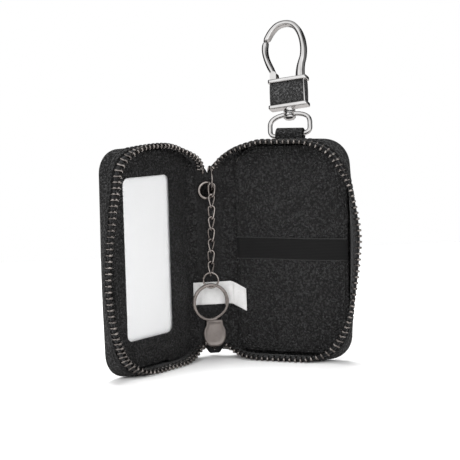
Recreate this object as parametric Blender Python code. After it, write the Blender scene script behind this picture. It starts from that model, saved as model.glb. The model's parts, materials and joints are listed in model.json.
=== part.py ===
"""A zip-around key case standing open like a book, with a chain inside and a snap hook on a strap."""
import math

import bmesh
import bpy
import numpy as np
from mathutils import Matrix, Vector

MM = 0.001

# The case: fold lines, size and rest pose
case_height = 112.0 * MM
page_width = 63.0 * MM
spine_width = 25.0 * MM
left_rest_angle = math.radians(42.5)
right_rest_angle = math.radians(30.7)
fit_gap = 0.3 * MM
zip_meeting_gap = 0.4 * MM

# Layers, from the outer face inwards
cover_thickness = 1.2 * MM
wall_thickness = 1.0 * MM
board_thickness = 0.8 * MM
panel_thickness = 0.8 * MM
card_thickness = 0.4 * MM
film_thickness = 0.3 * MM
band_thickness = 0.7 * MM
fold_clearance = 0.25 * MM

# Outline of the leather shell of a half
shell_corner_radius = 12.5 * MM
shell_notch_drop = 5.0 * MM
shell_notch_run = 18.0 * MM
shell_foot_rise = 2.0 * MM
shell_foot_run = 15.0 * MM

# Outline of the zip line of a half, which leans out along the side: each flare has its greatest angle,
# the height of that, its reach up and down from there, and its power
rim_corner_radius = 27.0 * MM
rim_notch_drop = 12.5 * MM
rim_notch_run = 28.0 * MM
rim_foot_rise = 5.0 * MM
rim_foot_run = 18.0 * MM
rim_start = 3.5 * MM
left_flare = (math.radians(33.0), 46.0 * MM, 46.0 * MM, 38.0 * MM, 1.7)
right_flare = (math.radians(38.0), 63.0 * MM, 36.0 * MM, 50.0 * MM, 1.6)
notch_power = 2.1

# Zip
tooth_pitch = 2.9 * MM
tooth_width = 1.4 * MM
tooth_length = 4.4 * MM
tooth_depth = 2.4 * MM
bead_length = 1.5 * MM
bead_inset = 0.5 * MM
tooth_ramp = 0.1 * MM
tape_thickness = 0.7 * MM
tape_foot = 2.8 * MM
tape_gap = 0.55 * MM

# Panels inside the halves
panel_edge_margin = 3.4 * MM
panel_corner_radius = 15.0 * MM
panel_notch_radius = 13.0 * MM
panel_spine_radius = 8.0 * MM
board_start = 2.9 * MM
board_notch_margin = 6.5 * MM
left_panel_start = 10.5 * MM
right_panel_start = 3.2 * MM
window_start = 15.8 * MM
window_side_margin = 12.6 * MM
window_foot = 17.0 * MM
window_top_margin = 16.0 * MM
window_corner_radius = 3.5 * MM
card_margin = 2.2 * MM
card_corner_radius = 2.5 * MM
elastic_foot = 51.1 * MM
elastic_height = 10.8 * MM
elastic_end_margin = 0.4 * MM

# Spine
spine_notch_drop = 17.0 * MM
spine_notch_power = 0.7
spine_foot_rise = 4.5 * MM
spine_fold_rise = 2.5 * MM
spine_board_margin = 2.0 * MM
spine_lining_margin = 0.8 * MM
spine_inner_inset = 1.0 * MM
spine_lining_thickness = 0.6 * MM
slider_slot_width = 9.0 * MM
slider_slot_top = 19.5 * MM
slider_offset = 1.2 * MM
slot_strip_thickness = 0.8 * MM

# Eyelet near the top of the spine
eyelet_drop = 25.6 * MM
eyelet_offset = -1.0 * MM
eyelet_outer_radius = 4.8 * MM
eyelet_bore_radius = 3.2 * MM
eyelet_wall = 0.5 * MM
eyelet_flange = 0.8 * MM
washer_thickness = 0.6 * MM

# Zip stop at the upper end and label near the foot
stop_width = 4.8 * MM
stop_height = 2.6 * MM
stop_depth = 1.2 * MM
stop_drop = 1.0 * MM
label_left = 9.3 * MM
label_right = 10.6 * MM
label_foot = 27.8 * MM
label_height = 11.6 * MM
label_thickness = 0.3 * MM
label_tail_start = 3.6 * MM
label_tail_length = 4.4 * MM
label_tail_drop = 3.4 * MM

# Zip slider at the foot of the spine
slider_height = 13.8 * MM
slider_foot = 5.9 * MM
slider_tail_width = 8.6 * MM
slider_body_width = 11.5 * MM
slider_mouth_width = 6.4 * MM
slider_plate = 1.2 * MM
slider_neck_width = 2.4 * MM
slider_neck_foot = 6.6 * MM
slider_neck_height = 4.6 * MM
bridge_wire = 0.9 * MM
bridge_span = 7.0 * MM
bridge_rise = 3.0 * MM
bridge_foot = 5.6 * MM
pull_length = 11.0 * MM
pull_width = 5.0 * MM
pull_neck_width = 2.8 * MM
pull_thickness = 0.8 * MM
pull_eye_length = 2.6 * MM
pull_eye_width = 1.7 * MM
pull_stand_off = 1.4 * MM
pull_seat_height = 1.9 * MM

# Chain of curb links between the jump ring and the split key ring
chain_offset = 1.1 * MM
chain_tilt = math.radians(2.0)
chain_forward = 6.9 * MM
jump_ring_radius = 6.2 * MM
jump_ring_wire = 1.05 * MM
jump_ring_forward = 2.5 * MM
jump_ring_rise = 5.7 * MM
link_count = 8
link_pitch = 5.7 * MM
link_width = 4.3 * MM
link_wire = 1.05 * MM
link_turn = math.radians(40.0)
first_link_turn = math.radians(25.0)
first_link_clearance = 0.35 * MM
metal_clearance = 0.25 * MM
small_ring_radius = 3.7 * MM
small_ring_wire = 1.1 * MM
small_ring_turn = math.radians(-30.0)
key_ring_radius = 8.9 * MM
key_ring_band = 1.4 * MM
key_ring_wire = 0.85 * MM
key_ring_coil_pitch = 1.3 * MM
key_ring_seat_gap = 0.7 * MM
key_ring_turn = math.radians(10.0)
key_ring_crossing_share = 0.14
key_ring_end_gap_share = 0.02
key_ring_end_angle = math.radians(-70.0)

# Hanging strap and snap hook behind the right half
strap_place = 30.5 * MM
strap_width = 14.0 * MM
strap_thickness = 1.2 * MM
strap_overlap = 26.0 * MM
strap_neck_drop = 9.0 * MM
bar_rise = 1.2 * MM
hook_lean = math.radians(17.5)
hook_tilt = math.radians(6.5)
hook_turn = math.radians(1.0)
ring_half_width = 10.6 * MM
ring_half_height = 5.55 * MM
ring_band = 2.2 * MM
ring_depth = 2.4 * MM
ring_squareness = 2.5
ring_bar_squareness = 5.0
strap_loop_room = 1.4 * MM
rivet_radius = 1.3 * MM
rivet_head_radius = 3.1 * MM
rivet_head_height = 1.5 * MM
collar_radius = 3.0 * MM
block_width = 19.3 * MM
block_height = 15.8 * MM
block_depth = 4.7 * MM
block_foot = 14.3 * MM
rail_height = 2.0 * MM
rail_overhang = 0.7 * MM
sleeve_thickness = 0.9 * MM
loop_width = 21.6 * MM
loop_height = 30.8 * MM
loop_offset = -1.6 * MM
loop_band = 2.9 * MM
loop_depth = 4.6 * MM
gate_band = 2.6 * MM
gate_knuckle_radius = 1.7 * MM
gate_knuckle_depth = 0.8 * MM
gate_pin_radius = 0.55 * MM
gate_pin_bore = 0.85 * MM
gate_pin_place = 7.55 * MM
gate_pin_rise = 2.7 * MM
ear_thickness = 0.5 * MM
spring_wire = 0.35 * MM
spring_pitch = 0.8 * MM
spring_radius = 1.15 * MM
spring_turns = 2

# Centre line of the loop from the block round to its nose, and of the gate from its pin to its tip,
# as shares of the loop's half width and height, with the band's width as a share of its own
loop_shares = (
    (0.74, -0.04, 1.55), (0.75, 0.05, 1.55), (0.77, 0.14, 1.4), (0.83, 0.24, 1.15), (0.92, 0.34, 1.0),
    (0.96, 0.46, 1.0), (0.94, 0.58, 1.0), (0.87, 0.7, 1.0), (0.73, 0.82, 1.0), (0.5, 0.92, 1.0),
    (0.22, 0.965, 1.0), (-0.08, 0.97, 1.0), (-0.36, 0.94, 1.0), (-0.62, 0.86, 1.0), (-0.8, 0.77, 1.0),
    (-0.9, 0.705, 0.95))
gate_shares = (
    (-0.59, 0.124, 1.0), (-0.7, 0.21, 1.15), (-0.81, 0.3, 1.1), (-0.9, 0.39, 1.0), (-0.965, 0.49, 1.0),
    (-0.975, 0.59, 1.0), (-0.925, 0.685, 0.95))

# Counts
corner_steps = 5
wall_corner_steps = 14
side_steps = 12
link_steps = 16
wire_sides = 6
round_steps = 24
ring_steps = 32

# Derived sizes
rim_slant = spine_width / 2 + cover_thickness / 2 - zip_meeting_gap / 2
wall_slant = rim_slant - tooth_length - fit_gap
board_low = cover_thickness + fit_gap
board_high = board_low + board_thickness
card_low = board_high + fit_gap
film_low = card_low + card_thickness + fit_gap
left_panel_low = film_low + film_thickness + fit_gap
right_panel_low = board_high + fit_gap
elastic_low = right_panel_low + panel_thickness + fit_gap
page_start = cover_thickness / 2 + fold_clearance
spine_board_front = cover_thickness + fit_gap + board_thickness
spine_front = spine_board_front + fit_gap + spine_lining_thickness
label_front = spine_front + fit_gap + label_thickness
window_width = page_width - window_start - window_side_margin
window_height = case_height - window_foot - window_top_margin
eyelet_height = case_height - eyelet_drop
jump_ring_height = eyelet_height + jump_ring_rise
bar_height = case_height + bar_rise
strap_foot = case_height - strap_overlap
corner_span = max(shell_corner_radius, rim_corner_radius)


def material(name, colour, roughness, metallic, alpha=1.0):
    made = bpy.data.materials.new(name)
    made.use_nodes = True
    shader = made.node_tree.nodes["Principled BSDF"]
    shader.inputs["Base Color"].default_value = (*colour, 1.0)
    shader.inputs["Roughness"].default_value = roughness
    shader.inputs["Metallic"].default_value = metallic
    shader.inputs["Alpha"].default_value = alpha
    made.diffuse_color = (*colour, alpha)
    return made


def placed(name, bm, finish, parent):
    """Make a named object of a closed mesh, its faces pointing out."""
    bmesh.ops.recalc_face_normals(bm, faces=bm.faces[:])
    mesh = bpy.data.meshes.new(name)
    bm.to_mesh(mesh)
    bm.free()
    mesh.materials.append(finish)
    made = bpy.data.objects.new(name, mesh)
    bpy.context.collection.objects.link(made)
    made.parent = parent
    return made


def smooth(made, angle=math.radians(40.0)):
    made.data.shade_smooth()
    made.data.set_sharp_from_angle(angle=angle)
    return made


def empty(name, place, parent=None, turn=Matrix.Identity(3)):
    made = bpy.data.objects.new(name, None)
    bpy.context.collection.objects.link(made)
    made.parent = parent
    made.matrix_local = Matrix.Translation(place) @ turn.to_4x4()
    return made


def turned(angle, axis):
    return Matrix.Rotation(angle, 3, axis)


def cut(target, tool, operation="DIFFERENCE"):
    """Leave a Boolean on the target, with its tool hidden."""
    step = target.modifiers.new(operation.title(), "BOOLEAN")
    step.operation = operation
    step.solver = "EXACT"
    step.object = tool
    tool.hide_render = True
    tool.display_type = "WIRE"


def joined_rings(rings, closed):
    """Skin a row of rings of points into one closed body."""
    bm = bmesh.new()
    loops = [[bm.verts.new(point) for point in ring] for ring in rings]
    count = len(loops[0])
    followers = loops[1:] + loops[:1] if closed else loops[1:]
    for near, far in zip(loops, followers):
        for i in range(count):
            j = (i + 1) % count
            bm.faces.new((near[i], near[j], far[j], far[i]))
    if not closed:
        bm.faces.new(loops[0])
        bm.faces.new(loops[-1])
    return bm


def prism(outline, low, high):
    """Extrude a flat outline of (a, b) points between two depths along Y, with a along X and b along Z."""
    return joined_rings([[Vector((a, y, b)) for a, b in outline] for y in (low, high)], closed=False)


def frame_of(outer, inner, low, high):
    """A flat frame between two outlines with as many points."""
    rings = []
    for (a, b), (c, d) in zip(outer, inner):
        rings.append([Vector((a, low, b)), Vector((a, high, b)), Vector((c, high, d)), Vector((c, low, d))])
    return joined_rings(rings, closed=True)


def rounded_rectangle(left, right, foot, top, *radii):
    """Corners in turn from the lower right, each an arc with its own radius, or one for all."""
    if len(radii) == 1:
        radii = radii * 4
    lower_right, upper_right, upper_left, lower_left = radii
    corners = ((right - lower_right, foot + lower_right, lower_right),
               (right - upper_right, top - upper_right, upper_right),
               (left + upper_left, top - upper_left, upper_left),
               (left + lower_left, foot + lower_left, lower_left))
    points = []
    for quarter, (a, b, r) in enumerate(corners):
        for step in range(corner_steps + 1):
            angle = math.pi / 2 * (quarter - 1 + step / corner_steps)
            points.append((a + r * math.cos(angle), b + r * math.sin(angle)))
    return points


def circle(radius, steps, centre=(0.0, 0.0)):
    angles = [2 * math.pi * i / steps for i in range(steps)]
    return [(centre[0] + radius * math.cos(t), centre[1] + radius * math.sin(t)) for t in angles]


def tube(path, section, closed, up=Vector((0, 1, 0))):
    """Sweep a section of (across, along up) points down a path, keeping one side to up."""
    rings = []
    last = len(path) - 1
    for i, point in enumerate(path):
        before = path[i - 1] if closed or i > 0 else path[i]
        after = path[(i + 1) % len(path)] if closed or i < last else path[i]
        run = (after - before).normalized()
        side = run.cross(up).normalized()
        rise = side.cross(run).normalized()
        rings.append([point + side * a + rise * b for a, b in section])
    return joined_rings(rings, closed)


def band_section(width, depth, chamfer_share=0.22):
    """A rectangle with chamfered corners, width across and depth along."""
    a, b = width / 2, depth / 2
    c = min(a, b) * 2 * chamfer_share
    return [(a, b - c), (a - c, b), (c - a, b), (-a, b - c), (-a, c - b), (c - a, -b), (a - c, -b), (a,
                                                                                                     c - b)]


def ring_path(radius, steps):
    return [Vector((radius * math.cos(t), 0, radius * math.sin(t)))
            for t in (2 * math.pi * i / steps for i in range(steps))]


def spin(profile, steps):
    """Turn a closed (radius, along Y) profile round the Y axis."""
    rings = []
    for i in range(steps):
        t = 2 * math.pi * i / steps
        rings.append([Vector((r * math.cos(t), y, r * math.sin(t))) for r, y in profile])
    return joined_rings(rings, closed=True)


def capped_spin(profile, steps, along=Vector((0, 0, 1))):
    """Turn an open (radius, height) profile into a solid round a post along Z or Y."""
    turn = along.to_track_quat("Z", "Y").to_matrix()
    rings = [[turn @ Vector((r * math.cos(t), r * math.sin(t), z))
              for t in (2 * math.pi * i / steps for i in range(steps))] for r, z in profile]
    return joined_rings(rings, closed=False)


def ease(share, power):
    return max(0.0, 1.0 - share) ** power


def shell_top(u):
    radius = (shell_notch_run ** 2 + shell_notch_drop ** 2) / (2 * shell_notch_drop)
    back = max(0.0, shell_notch_run - u)
    return case_height - radius + math.sqrt(radius ** 2 - back ** 2)


def shell_foot(u):
    return shell_foot_rise * ease(u / shell_foot_run, notch_power)


def rim_top(u):
    return case_height - rim_notch_drop * ease(u / rim_notch_run, notch_power)


def rim_foot(u):
    return rim_foot_rise * ease(u / rim_foot_run, notch_power)


def flare(side, z):
    """Lean of a half's side wall at a height, most in the middle of its run."""
    angle, peak, reach_up, reach_down, power = left_flare if side > 0 else right_flare
    reach = reach_up if z > peak else reach_down
    return angle * (1.0 - min(1.0, abs(z - peak) / reach) ** power)


def corner_run(radius):
    """Points round a corner as (across, down) from its start, evenly along a straight run, its arc and a run."""
    straight = corner_span - radius
    quarter = math.pi / 2 * radius
    points = []
    for i in range(wall_corner_steps + 1):
        gone = (2 * straight + quarter) * i / wall_corner_steps
        t = min(max((gone - straight) / radius, 0.0), math.pi / 2)
        before, after = min(gone, straight), max(gone - straight - quarter, 0.0)
        points.append((before + radius * math.sin(t), radius * (1 - math.cos(t)) + after))
    return points


def half_outline(start, radius, top, foot):
    """From the spine along the top, round the side and back along the foot, as (u, z, lean share)."""
    points = []
    far = page_width - corner_span
    corner = corner_run(radius)
    for i in range(side_steps + 1):
        u = start + (far - start) * i / side_steps
        points.append((u, top(u), 0.0))
    for i in range(1, wall_corner_steps + 1):
        across, down = corner[i]
        points.append((far + across, case_height - down, math.sin(math.pi / 2 * i / wall_corner_steps)))
    for i in range(1, side_steps + 1):
        z = case_height - corner_span - (case_height - 2 * corner_span) * i / side_steps
        points.append((page_width, z, 1.0))
    for i in range(1, wall_corner_steps + 1):
        across, down = corner[wall_corner_steps - i]
        points.append((far + across, down, math.cos(math.pi / 2 * i / wall_corner_steps)))
    for i in range(1, side_steps + 1):
        u = far + (start - far) * i / side_steps
        points.append((u, foot(u), 0.0))
    return points


def wall_lines(side):
    """The wall's foot on the back panel and its rim, as (u, z, w) rows with w measured from the outer face."""
    shell = half_outline(page_start, shell_corner_radius, shell_top, shell_foot)
    foot_line = [np.array((u, z, 0.0)) for u, z, _ in shell]
    rim_line = []
    for (u, z, lean), base in zip(half_outline(rim_start, rim_corner_radius, rim_top, rim_foot), foot_line):
        over = u + lean * rim_slant * math.sin(flare(side, z))
        shift = math.hypot(over - base[0], z - base[1])
        rise = math.sqrt(max(rim_slant ** 2 - shift ** 2, (rim_slant / 2) ** 2)) if lean else rim_slant
        rim_line.append(np.array((over, z, rise)))
    return foot_line, rim_line


def inward(line, i):
    """Unit vector in the panel's plane, from the outline towards the middle of the half."""
    before, after = line[max(i - 1, 0)], line[min(i + 1, len(line) - 1)]
    run = (after - before)[:2]
    run /= np.linalg.norm(run)
    return np.array((run[1], -run[0], 0.0))


def wall_section(foot_line, rim_line, i, steps):
    """Points of the wall's section at station i from (slant, inset) pairs."""
    base, rim = foot_line[i], rim_line[i]
    up = (rim - base) / rim_slant
    inset_foot, inset_rim = inward(foot_line, i), inward(rim_line, i)
    points = []
    for slant, inset in steps:
        share = slant / rim_slant
        points.append(base + up * slant + (inset_foot * (1 - share) + inset_rim * share) * inset)
    return points


def on_page(side, point):
    """A (u, z, w) point in the fold's own frame: u along X, z up, and w towards the inside."""
    u, z, w = point
    return Vector((u, side * (w - cover_thickness / 2), z))


def tray(side):
    """Back panel and side wall in one piece of leather, open towards the spine."""
    foot_line, rim_line = wall_lines(side)
    bm = bmesh.new()
    rings = []
    for i in range(len(foot_line)):
        floor = rim_slant * cover_thickness / rim_line[i][2]
        section = wall_section(foot_line, rim_line, i, ((0.0, 0.0), (wall_slant, 0.0), (wall_slant,
                                                                                        wall_thickness),
                                                        (floor, wall_thickness)))
        rings.append([bm.verts.new(on_page(side, p)) for p in section])
    for near, far in zip(rings, rings[1:]):
        for a, b in ((0, 1), (1, 2), (2, 3)):
            bm.faces.new((near[a], near[b], far[b], far[a]))
    bm.faces.new([ring[0] for ring in rings])
    bm.faces.new([ring[3] for ring in rings])
    bm.faces.new(rings[0])
    bm.faces.new(rings[-1])
    bm.faces.new((rings[0][0], rings[0][3], rings[-1][3], rings[-1][0]))
    return bm


def tape(side):
    """Zip tape inside the leather wall."""
    foot_line, rim_line = wall_lines(side)
    near = wall_thickness + tape_gap
    far = near + tape_thickness
    steps = ((tape_foot, near), (wall_slant, near), (wall_slant, far), (tape_foot, far))
    rings = []
    for i in range(1, len(foot_line) - 1):
        rings.append([on_page(side, p) for p in wall_section(foot_line, rim_line, i, steps)])
    return joined_rings(rings, closed=False)


def teeth(side):
    """The row of teeth, joined along the bead that they grip."""
    foot_line, rim_line = wall_lines(side)
    runs = [0.0]
    for a, b in zip(rim_line, rim_line[1:]):
        runs.append(runs[-1] + float(np.linalg.norm(b - a)))
    count = int((runs[-1] - tooth_width) / tooth_pitch)
    low = wall_slant + fit_gap
    tooth = ((low, 0.0), (rim_slant, 0.0), (rim_slant, tooth_depth), (low, tooth_depth))
    bead = ((low, bead_inset), (low + bead_length, bead_inset),
            (low + bead_length, tooth_depth - bead_inset), (low, tooth_depth - bead_inset))
    columns = {}
    for name, steps in (("tooth", tooth), ("bead", bead)):
        rows = [wall_section(foot_line, rim_line, i, steps) for i in range(len(rim_line))]
        columns[name] = np.array(rows)
    rings = []
    for k in range(count):
        middle = tooth_width + tooth_pitch * k
        for offset, name in ((-tooth_width / 2 - tooth_ramp, "bead"), (-tooth_width / 2, "tooth"),
                             (tooth_width / 2, "tooth"), (tooth_width / 2 + tooth_ramp, "bead")):
            rows = columns[name]
            ring = [[float(np.interp(middle + offset, runs, rows[:, corner, axis])) for axis in range(3)]
                    for corner in range(rows.shape[1])]
            rings.append([on_page(side, p) for p in ring])
    return joined_rings(rings, closed=False)


def board_outline():
    return rounded_rectangle(board_start, page_width - panel_edge_margin, panel_edge_margin,
                             case_height - board_notch_margin, panel_corner_radius, panel_corner_radius,
                             panel_spine_radius, panel_spine_radius)


def panel_outline(start, notch_radius):
    return rounded_rectangle(start, page_width - panel_edge_margin, panel_edge_margin,
                             case_height - panel_edge_margin, panel_corner_radius, panel_corner_radius,
                             notch_radius, panel_spine_radius)


def page_depths(side, low, thickness):
    return [side * (w - cover_thickness / 2) for w in (low, low + thickness)]


def build_half(side, name, fold, finishes):
    """What both halves have: the leather tray, its board, the zip tape and the teeth."""
    placed(f"{name}_cover", tray(side), finishes["leather"], fold)
    placed(f"{name}_board", prism(board_outline(), *page_depths(side, board_low, board_thickness)),
           finishes["board"], fold)
    placed(f"{name}_zip_tape", tape(side), finishes["tape"], fold)
    placed(f"{name}_zip_teeth", teeth(side), finishes["gunmetal"], fold)


def build_window(fold, finishes):
    """The left half's clear window in its leather panel, with the insert card behind it."""
    right, top = window_start + window_width, window_foot + window_height
    window = rounded_rectangle(window_start, right, window_foot, top, window_corner_radius)
    behind = rounded_rectangle(window_start - card_margin, right + card_margin, window_foot - card_margin,
                               top + card_margin, card_corner_radius)
    placed("id_card_insert", prism(behind, *page_depths(1, card_low, card_thickness)), finishes["card"],
           fold)
    placed("id_window_film", prism(behind, *page_depths(1, film_low, film_thickness)), finishes["film"],
           fold)
    around = panel_outline(left_panel_start, panel_spine_radius)
    panel = frame_of(around, window, *page_depths(1, left_panel_low, panel_thickness))
    placed("left_window_panel", panel, finishes["leather"], fold)


def build_card_panel(fold, finishes):
    """The right half's leather panel with its elastic band, and the label's free end over it."""
    depths = page_depths(-1, right_panel_low, panel_thickness)
    around = panel_outline(right_panel_start, panel_notch_radius)
    placed("right_inner_panel", prism(around, *depths), finishes["leather"], fold)
    left = right_panel_start + elastic_end_margin
    right = page_width - panel_edge_margin - elastic_end_margin
    outline = [(left, elastic_foot), (right, elastic_foot), (right, elastic_foot + elastic_height),
               (left, elastic_foot + elastic_height)]
    placed("elastic_band", prism(outline, *page_depths(-1, elastic_low, band_thickness)),
           finishes["elastic"], fold)
    far = label_tail_start + label_tail_length
    top = label_foot + label_height
    outline = [(label_tail_start, label_foot), (far, label_foot - label_tail_drop), (far,
                                                                                     top - label_tail_drop),
               (label_tail_start, top)]
    placed("label_tail", prism(outline, *page_depths(-1, elastic_low, label_thickness)), finishes["satin"],
           fold)


def spine_outline(half_width, inset=0.0):
    """Spine layer seen from the front: notched top edge, raised foot and the slider's slot."""
    points = []
    for i in range(-corner_steps, corner_steps + 1):
        x = half_width * i / corner_steps
        share = abs(x) / (spine_width / 2)
        drop = spine_notch_drop - (spine_notch_drop - shell_notch_drop) * share ** spine_notch_power
        points.append((-x, case_height - drop - inset))
    slot_left, slot_right = slider_offset - slider_slot_width / 2, slider_offset + slider_slot_width / 2
    for x in (-half_width, slot_left):
        points.append((x, foot_height(x, half_width) + inset))
    points += [(slot_left, slider_slot_top), (slot_right, slider_slot_top)]
    for x in (slot_right, half_width):
        points.append((x, foot_height(x, half_width) + inset))
    return points


def foot_height(x, half_width):
    return spine_fold_rise + (spine_foot_rise - spine_fold_rise) * (1 - abs(x) / half_width)


def bore(name, radius, height, parent):
    """A cutter through the whole spine at a height."""
    reach = spine_front + cover_thickness
    tool = placed(name, prism(circle(radius, round_steps, (eyelet_offset, height)), -reach, reach),
                  cutter_finish, parent)
    return tool


def build_spine(root, finishes):
    """Cover with rounded fold edges, board and lining, all holed for the eyelet and slotted for the slider."""
    half = spine_width / 2
    cover = placed("spine_cover", prism(spine_outline(half), -cover_thickness, 0.0), finishes["leather"],
                   root)
    outline = spine_outline(half - spine_board_margin, spine_inner_inset)
    board = placed("spine_board", prism(outline, -spine_board_front, -cover_thickness - fit_gap),
                   finishes["board"], root)
    outline = spine_outline(half - spine_lining_margin, spine_inner_inset)
    lining = placed("spine_lining", prism(outline, -spine_front, -spine_board_front - fit_gap),
                    finishes["lining"], root)
    hole = bore("eyelet_hole", eyelet_bore_radius + eyelet_wall + fit_gap, eyelet_height, root)
    for layer in (cover, board, lining):
        cut(layer, hole)
    edge = cover.modifiers.new("Fold edge", "BEVEL")
    edge.limit_method = "ANGLE"
    edge.angle_limit = math.radians(80.0)
    edge.width = cover_thickness * 0.4
    edge.segments = 2


def build_eyelet(root, finishes):
    front = -(spine_front + fit_gap)
    wall = eyelet_bore_radius + eyelet_wall
    flange = front - eyelet_flange
    back = fit_gap + washer_thickness
    profile = ((eyelet_bore_radius, back), (eyelet_bore_radius, flange + eyelet_wall),
               (eyelet_bore_radius + eyelet_wall, flange), (eyelet_outer_radius - eyelet_wall, flange),
               (eyelet_outer_radius, front), (wall, front), (wall, back))
    barrel = placed("eyelet", spin(profile, round_steps), finishes["gunmetal"], root)
    bore_of_washer = wall + fit_gap
    profile = ((bore_of_washer, fit_gap), (eyelet_outer_radius, fit_gap),
               (eyelet_outer_radius, back), (bore_of_washer, back))
    washer = placed("eyelet_washer", spin(profile, round_steps), finishes["gunmetal"], root)
    for made in (barrel, washer):
        made.location = Vector((eyelet_offset, 0.0, eyelet_height))
        smooth(made)


def build_spine_trim(root, finishes):
    """Upper zip stop, the label's sewn part, and the two tapes in the slider's slot."""
    top = case_height - spine_notch_drop - stop_drop
    outline = rounded_rectangle(-stop_width / 2, stop_width / 2, top - stop_height, top, stop_height / 4)
    front = -(spine_front + fit_gap)
    placed("upper_zip_stop", prism(outline, front - stop_depth, front), finishes["gunmetal"], root)
    outline = [(-label_left, label_foot), (label_right, label_foot), (label_right,
                                                                      label_foot + label_height),
               (-label_left, label_foot + label_height)]
    placed("label", prism(outline, -label_front, front), finishes["satin"], root)
    outer = slider_slot_width / 2 - fit_gap
    inner = slider_neck_width / 2 + fit_gap
    slot_top = slider_slot_top - fit_gap
    middle = -spine_front / 2
    for name, sign in (("left", -1), ("right", 1)):
        near, far = slider_offset + sign * inner, slider_offset + sign * outer
        outline = [(near, spine_foot_rise), (far, spine_foot_rise), (far, slot_top), (near, slot_top)]
        placed(f"slot_tape_{name}", prism(outline, middle - slot_strip_thickness / 2,
                                          middle + slot_strip_thickness / 2), finishes["tape"], root)


def slider_outline():
    """Tail at the top, widest near the middle, narrowing again to the mouth."""
    half_tail, half_body, half_mouth = slider_tail_width / 2, slider_body_width / 2, slider_mouth_width / 2
    right = [(half_mouth, 0.0), (half_body * 0.82, slider_height * 0.14), (half_body, slider_height * 0.36),
             (half_body, slider_height * 0.56), (half_body * 0.86, slider_height * 0.76), (half_tail,
                                                                                           slider_height)]
    return right + [(-x, z) for x, z in reversed(right)]


def build_slider(parent, finishes):
    """Two plates joined by a neck through the slot, with a bridge on the outer plate for the pull tab."""
    inner_face = -(spine_front + fit_gap)
    outer_face = fit_gap
    inner = placed("slider_body", prism(slider_outline(), inner_face - slider_plate, inner_face),
                   finishes["gunmetal"], parent)
    outer = placed("slider_outer_plate", prism(slider_outline(), outer_face, outer_face + slider_plate),
                   finishes["gunmetal"], parent)
    half = slider_neck_width / 2
    outline = rounded_rectangle(-half, half, slider_neck_foot, slider_neck_foot + slider_neck_height,
                                half / 2)
    sunk = slider_plate / 2
    neck = placed("slider_neck", prism(outline, inner_face - sunk, outer_face + sunk), finishes["gunmetal"],
                  parent)
    cut(inner, outer, "UNION")
    cut(inner, neck, "UNION")
    face = outer_face + slider_plate + fit_gap / 3
    path = []
    for i in range(corner_steps * 2 + 1):
        t = math.pi * i / (corner_steps * 2)
        path.append(Vector((0.0, face + bridge_rise * math.sin(t),
                            bridge_foot + bridge_span / 2 * (1 - math.cos(t)))))
    half_wire = bridge_wire / 2
    bridge = tube(path, [(half_wire, half_wire), (-half_wire, half_wire), (-half_wire, -half_wire),
                         (half_wire, -half_wire)], closed=False, up=Vector((1, 0, 0)))
    placed("slider_bridge", bridge, finishes["gunmetal"], parent)


def build_pull_tab(pivot, finishes):
    """A short metal tab whose eye goes round the bridge's leg; its pivot is the bar above the eye."""
    top = pull_thickness / 2
    half, neck = pull_width / 2, pull_neck_width / 2
    eye_foot = -top - pull_eye_length
    tip = top - pull_length
    outer = [(neck, top), (-neck, top), (-neck, eye_foot), (-half, eye_foot - neck), (-half,
                                                                                      tip + half / 2),
             (-half / 2, tip), (half / 2, tip), (half, tip + half / 2), (half, eye_foot - neck), (neck,
                                                                                                  eye_foot)]
    tab = placed("pull_tab", prism(outer, -top, top), finishes["gunmetal"], pivot)
    half_eye = pull_eye_width / 2
    outline = rounded_rectangle(-half_eye, half_eye, eye_foot, -top, half_eye / 2)
    eye = placed("pull_tab_eye", prism(outline, -pull_width, pull_width), cutter_finish, pivot)
    cut(tab, eye)


def stadium(length, width, steps):
    """Centre line of a long link: two half circles and straight sides."""
    radius = width / 2
    straight = length / 2 - radius
    points = []
    half = steps // 2
    for end in (1, -1):
        for i in range(half):
            t = math.pi * (i / (half - 1)) if end == 1 else math.pi * (1 + i / (half - 1))
            points.append(Vector((radius * math.cos(t), 0, end * straight + radius * math.sin(t))))
    return points


def build_link(name, pivot, finishes):
    """A link hanging below its pivot, which is where it bears on the piece above."""
    length = link_pitch + 2 * link_wire + metal_clearance
    path = stadium(length - link_wire, link_width - link_wire, link_steps)
    link = placed(name, tube(path, circle(link_wire / 2, wire_sides), closed=True), finishes["gunmetal"],
                  pivot)
    link.location.z = -(length - link_wire) / 2
    return smooth(link)


def coil_path(radius, pitch, turns, steps):
    """A flat coil round Y, its middle turn at the origin."""
    count = int(turns * steps)
    path = []
    for i in range(count + 1):
        t = 2 * math.pi * i / steps + math.pi / 2
        path.append(Vector((radius * math.cos(t), pitch * (i / steps - turns / 2), radius * math.sin(t))))
    return path


def split_ring_path():
    """Two flat turns side by side, crossing over where the two ends stop short of each other."""
    turns = 2 - key_ring_crossing_share - key_ring_end_gap_share
    count = int(turns * ring_steps)
    path = []
    for i in range(count + 1):
        done = turns * i / count
        share = min(1.0, max(0.0, (done - turns / 2) / key_ring_crossing_share + 0.5))
        t = key_ring_end_angle - 2 * math.pi * done
        side = key_ring_coil_pitch / 2 * -math.cos(math.pi * share)
        path.append(Vector((key_ring_radius * math.cos(t), side, key_ring_radius * math.sin(t))))
    return path


def least_gap(path, apart, thickness):
    """Smallest distance between turns of a coil, less its wire."""
    points = np.array([tuple(p) for p in path])
    best = min(float(np.linalg.norm(points[i] - points[j]))
               for i in range(len(points)) for j in range(i + apart, len(points)))
    return best - thickness


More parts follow.
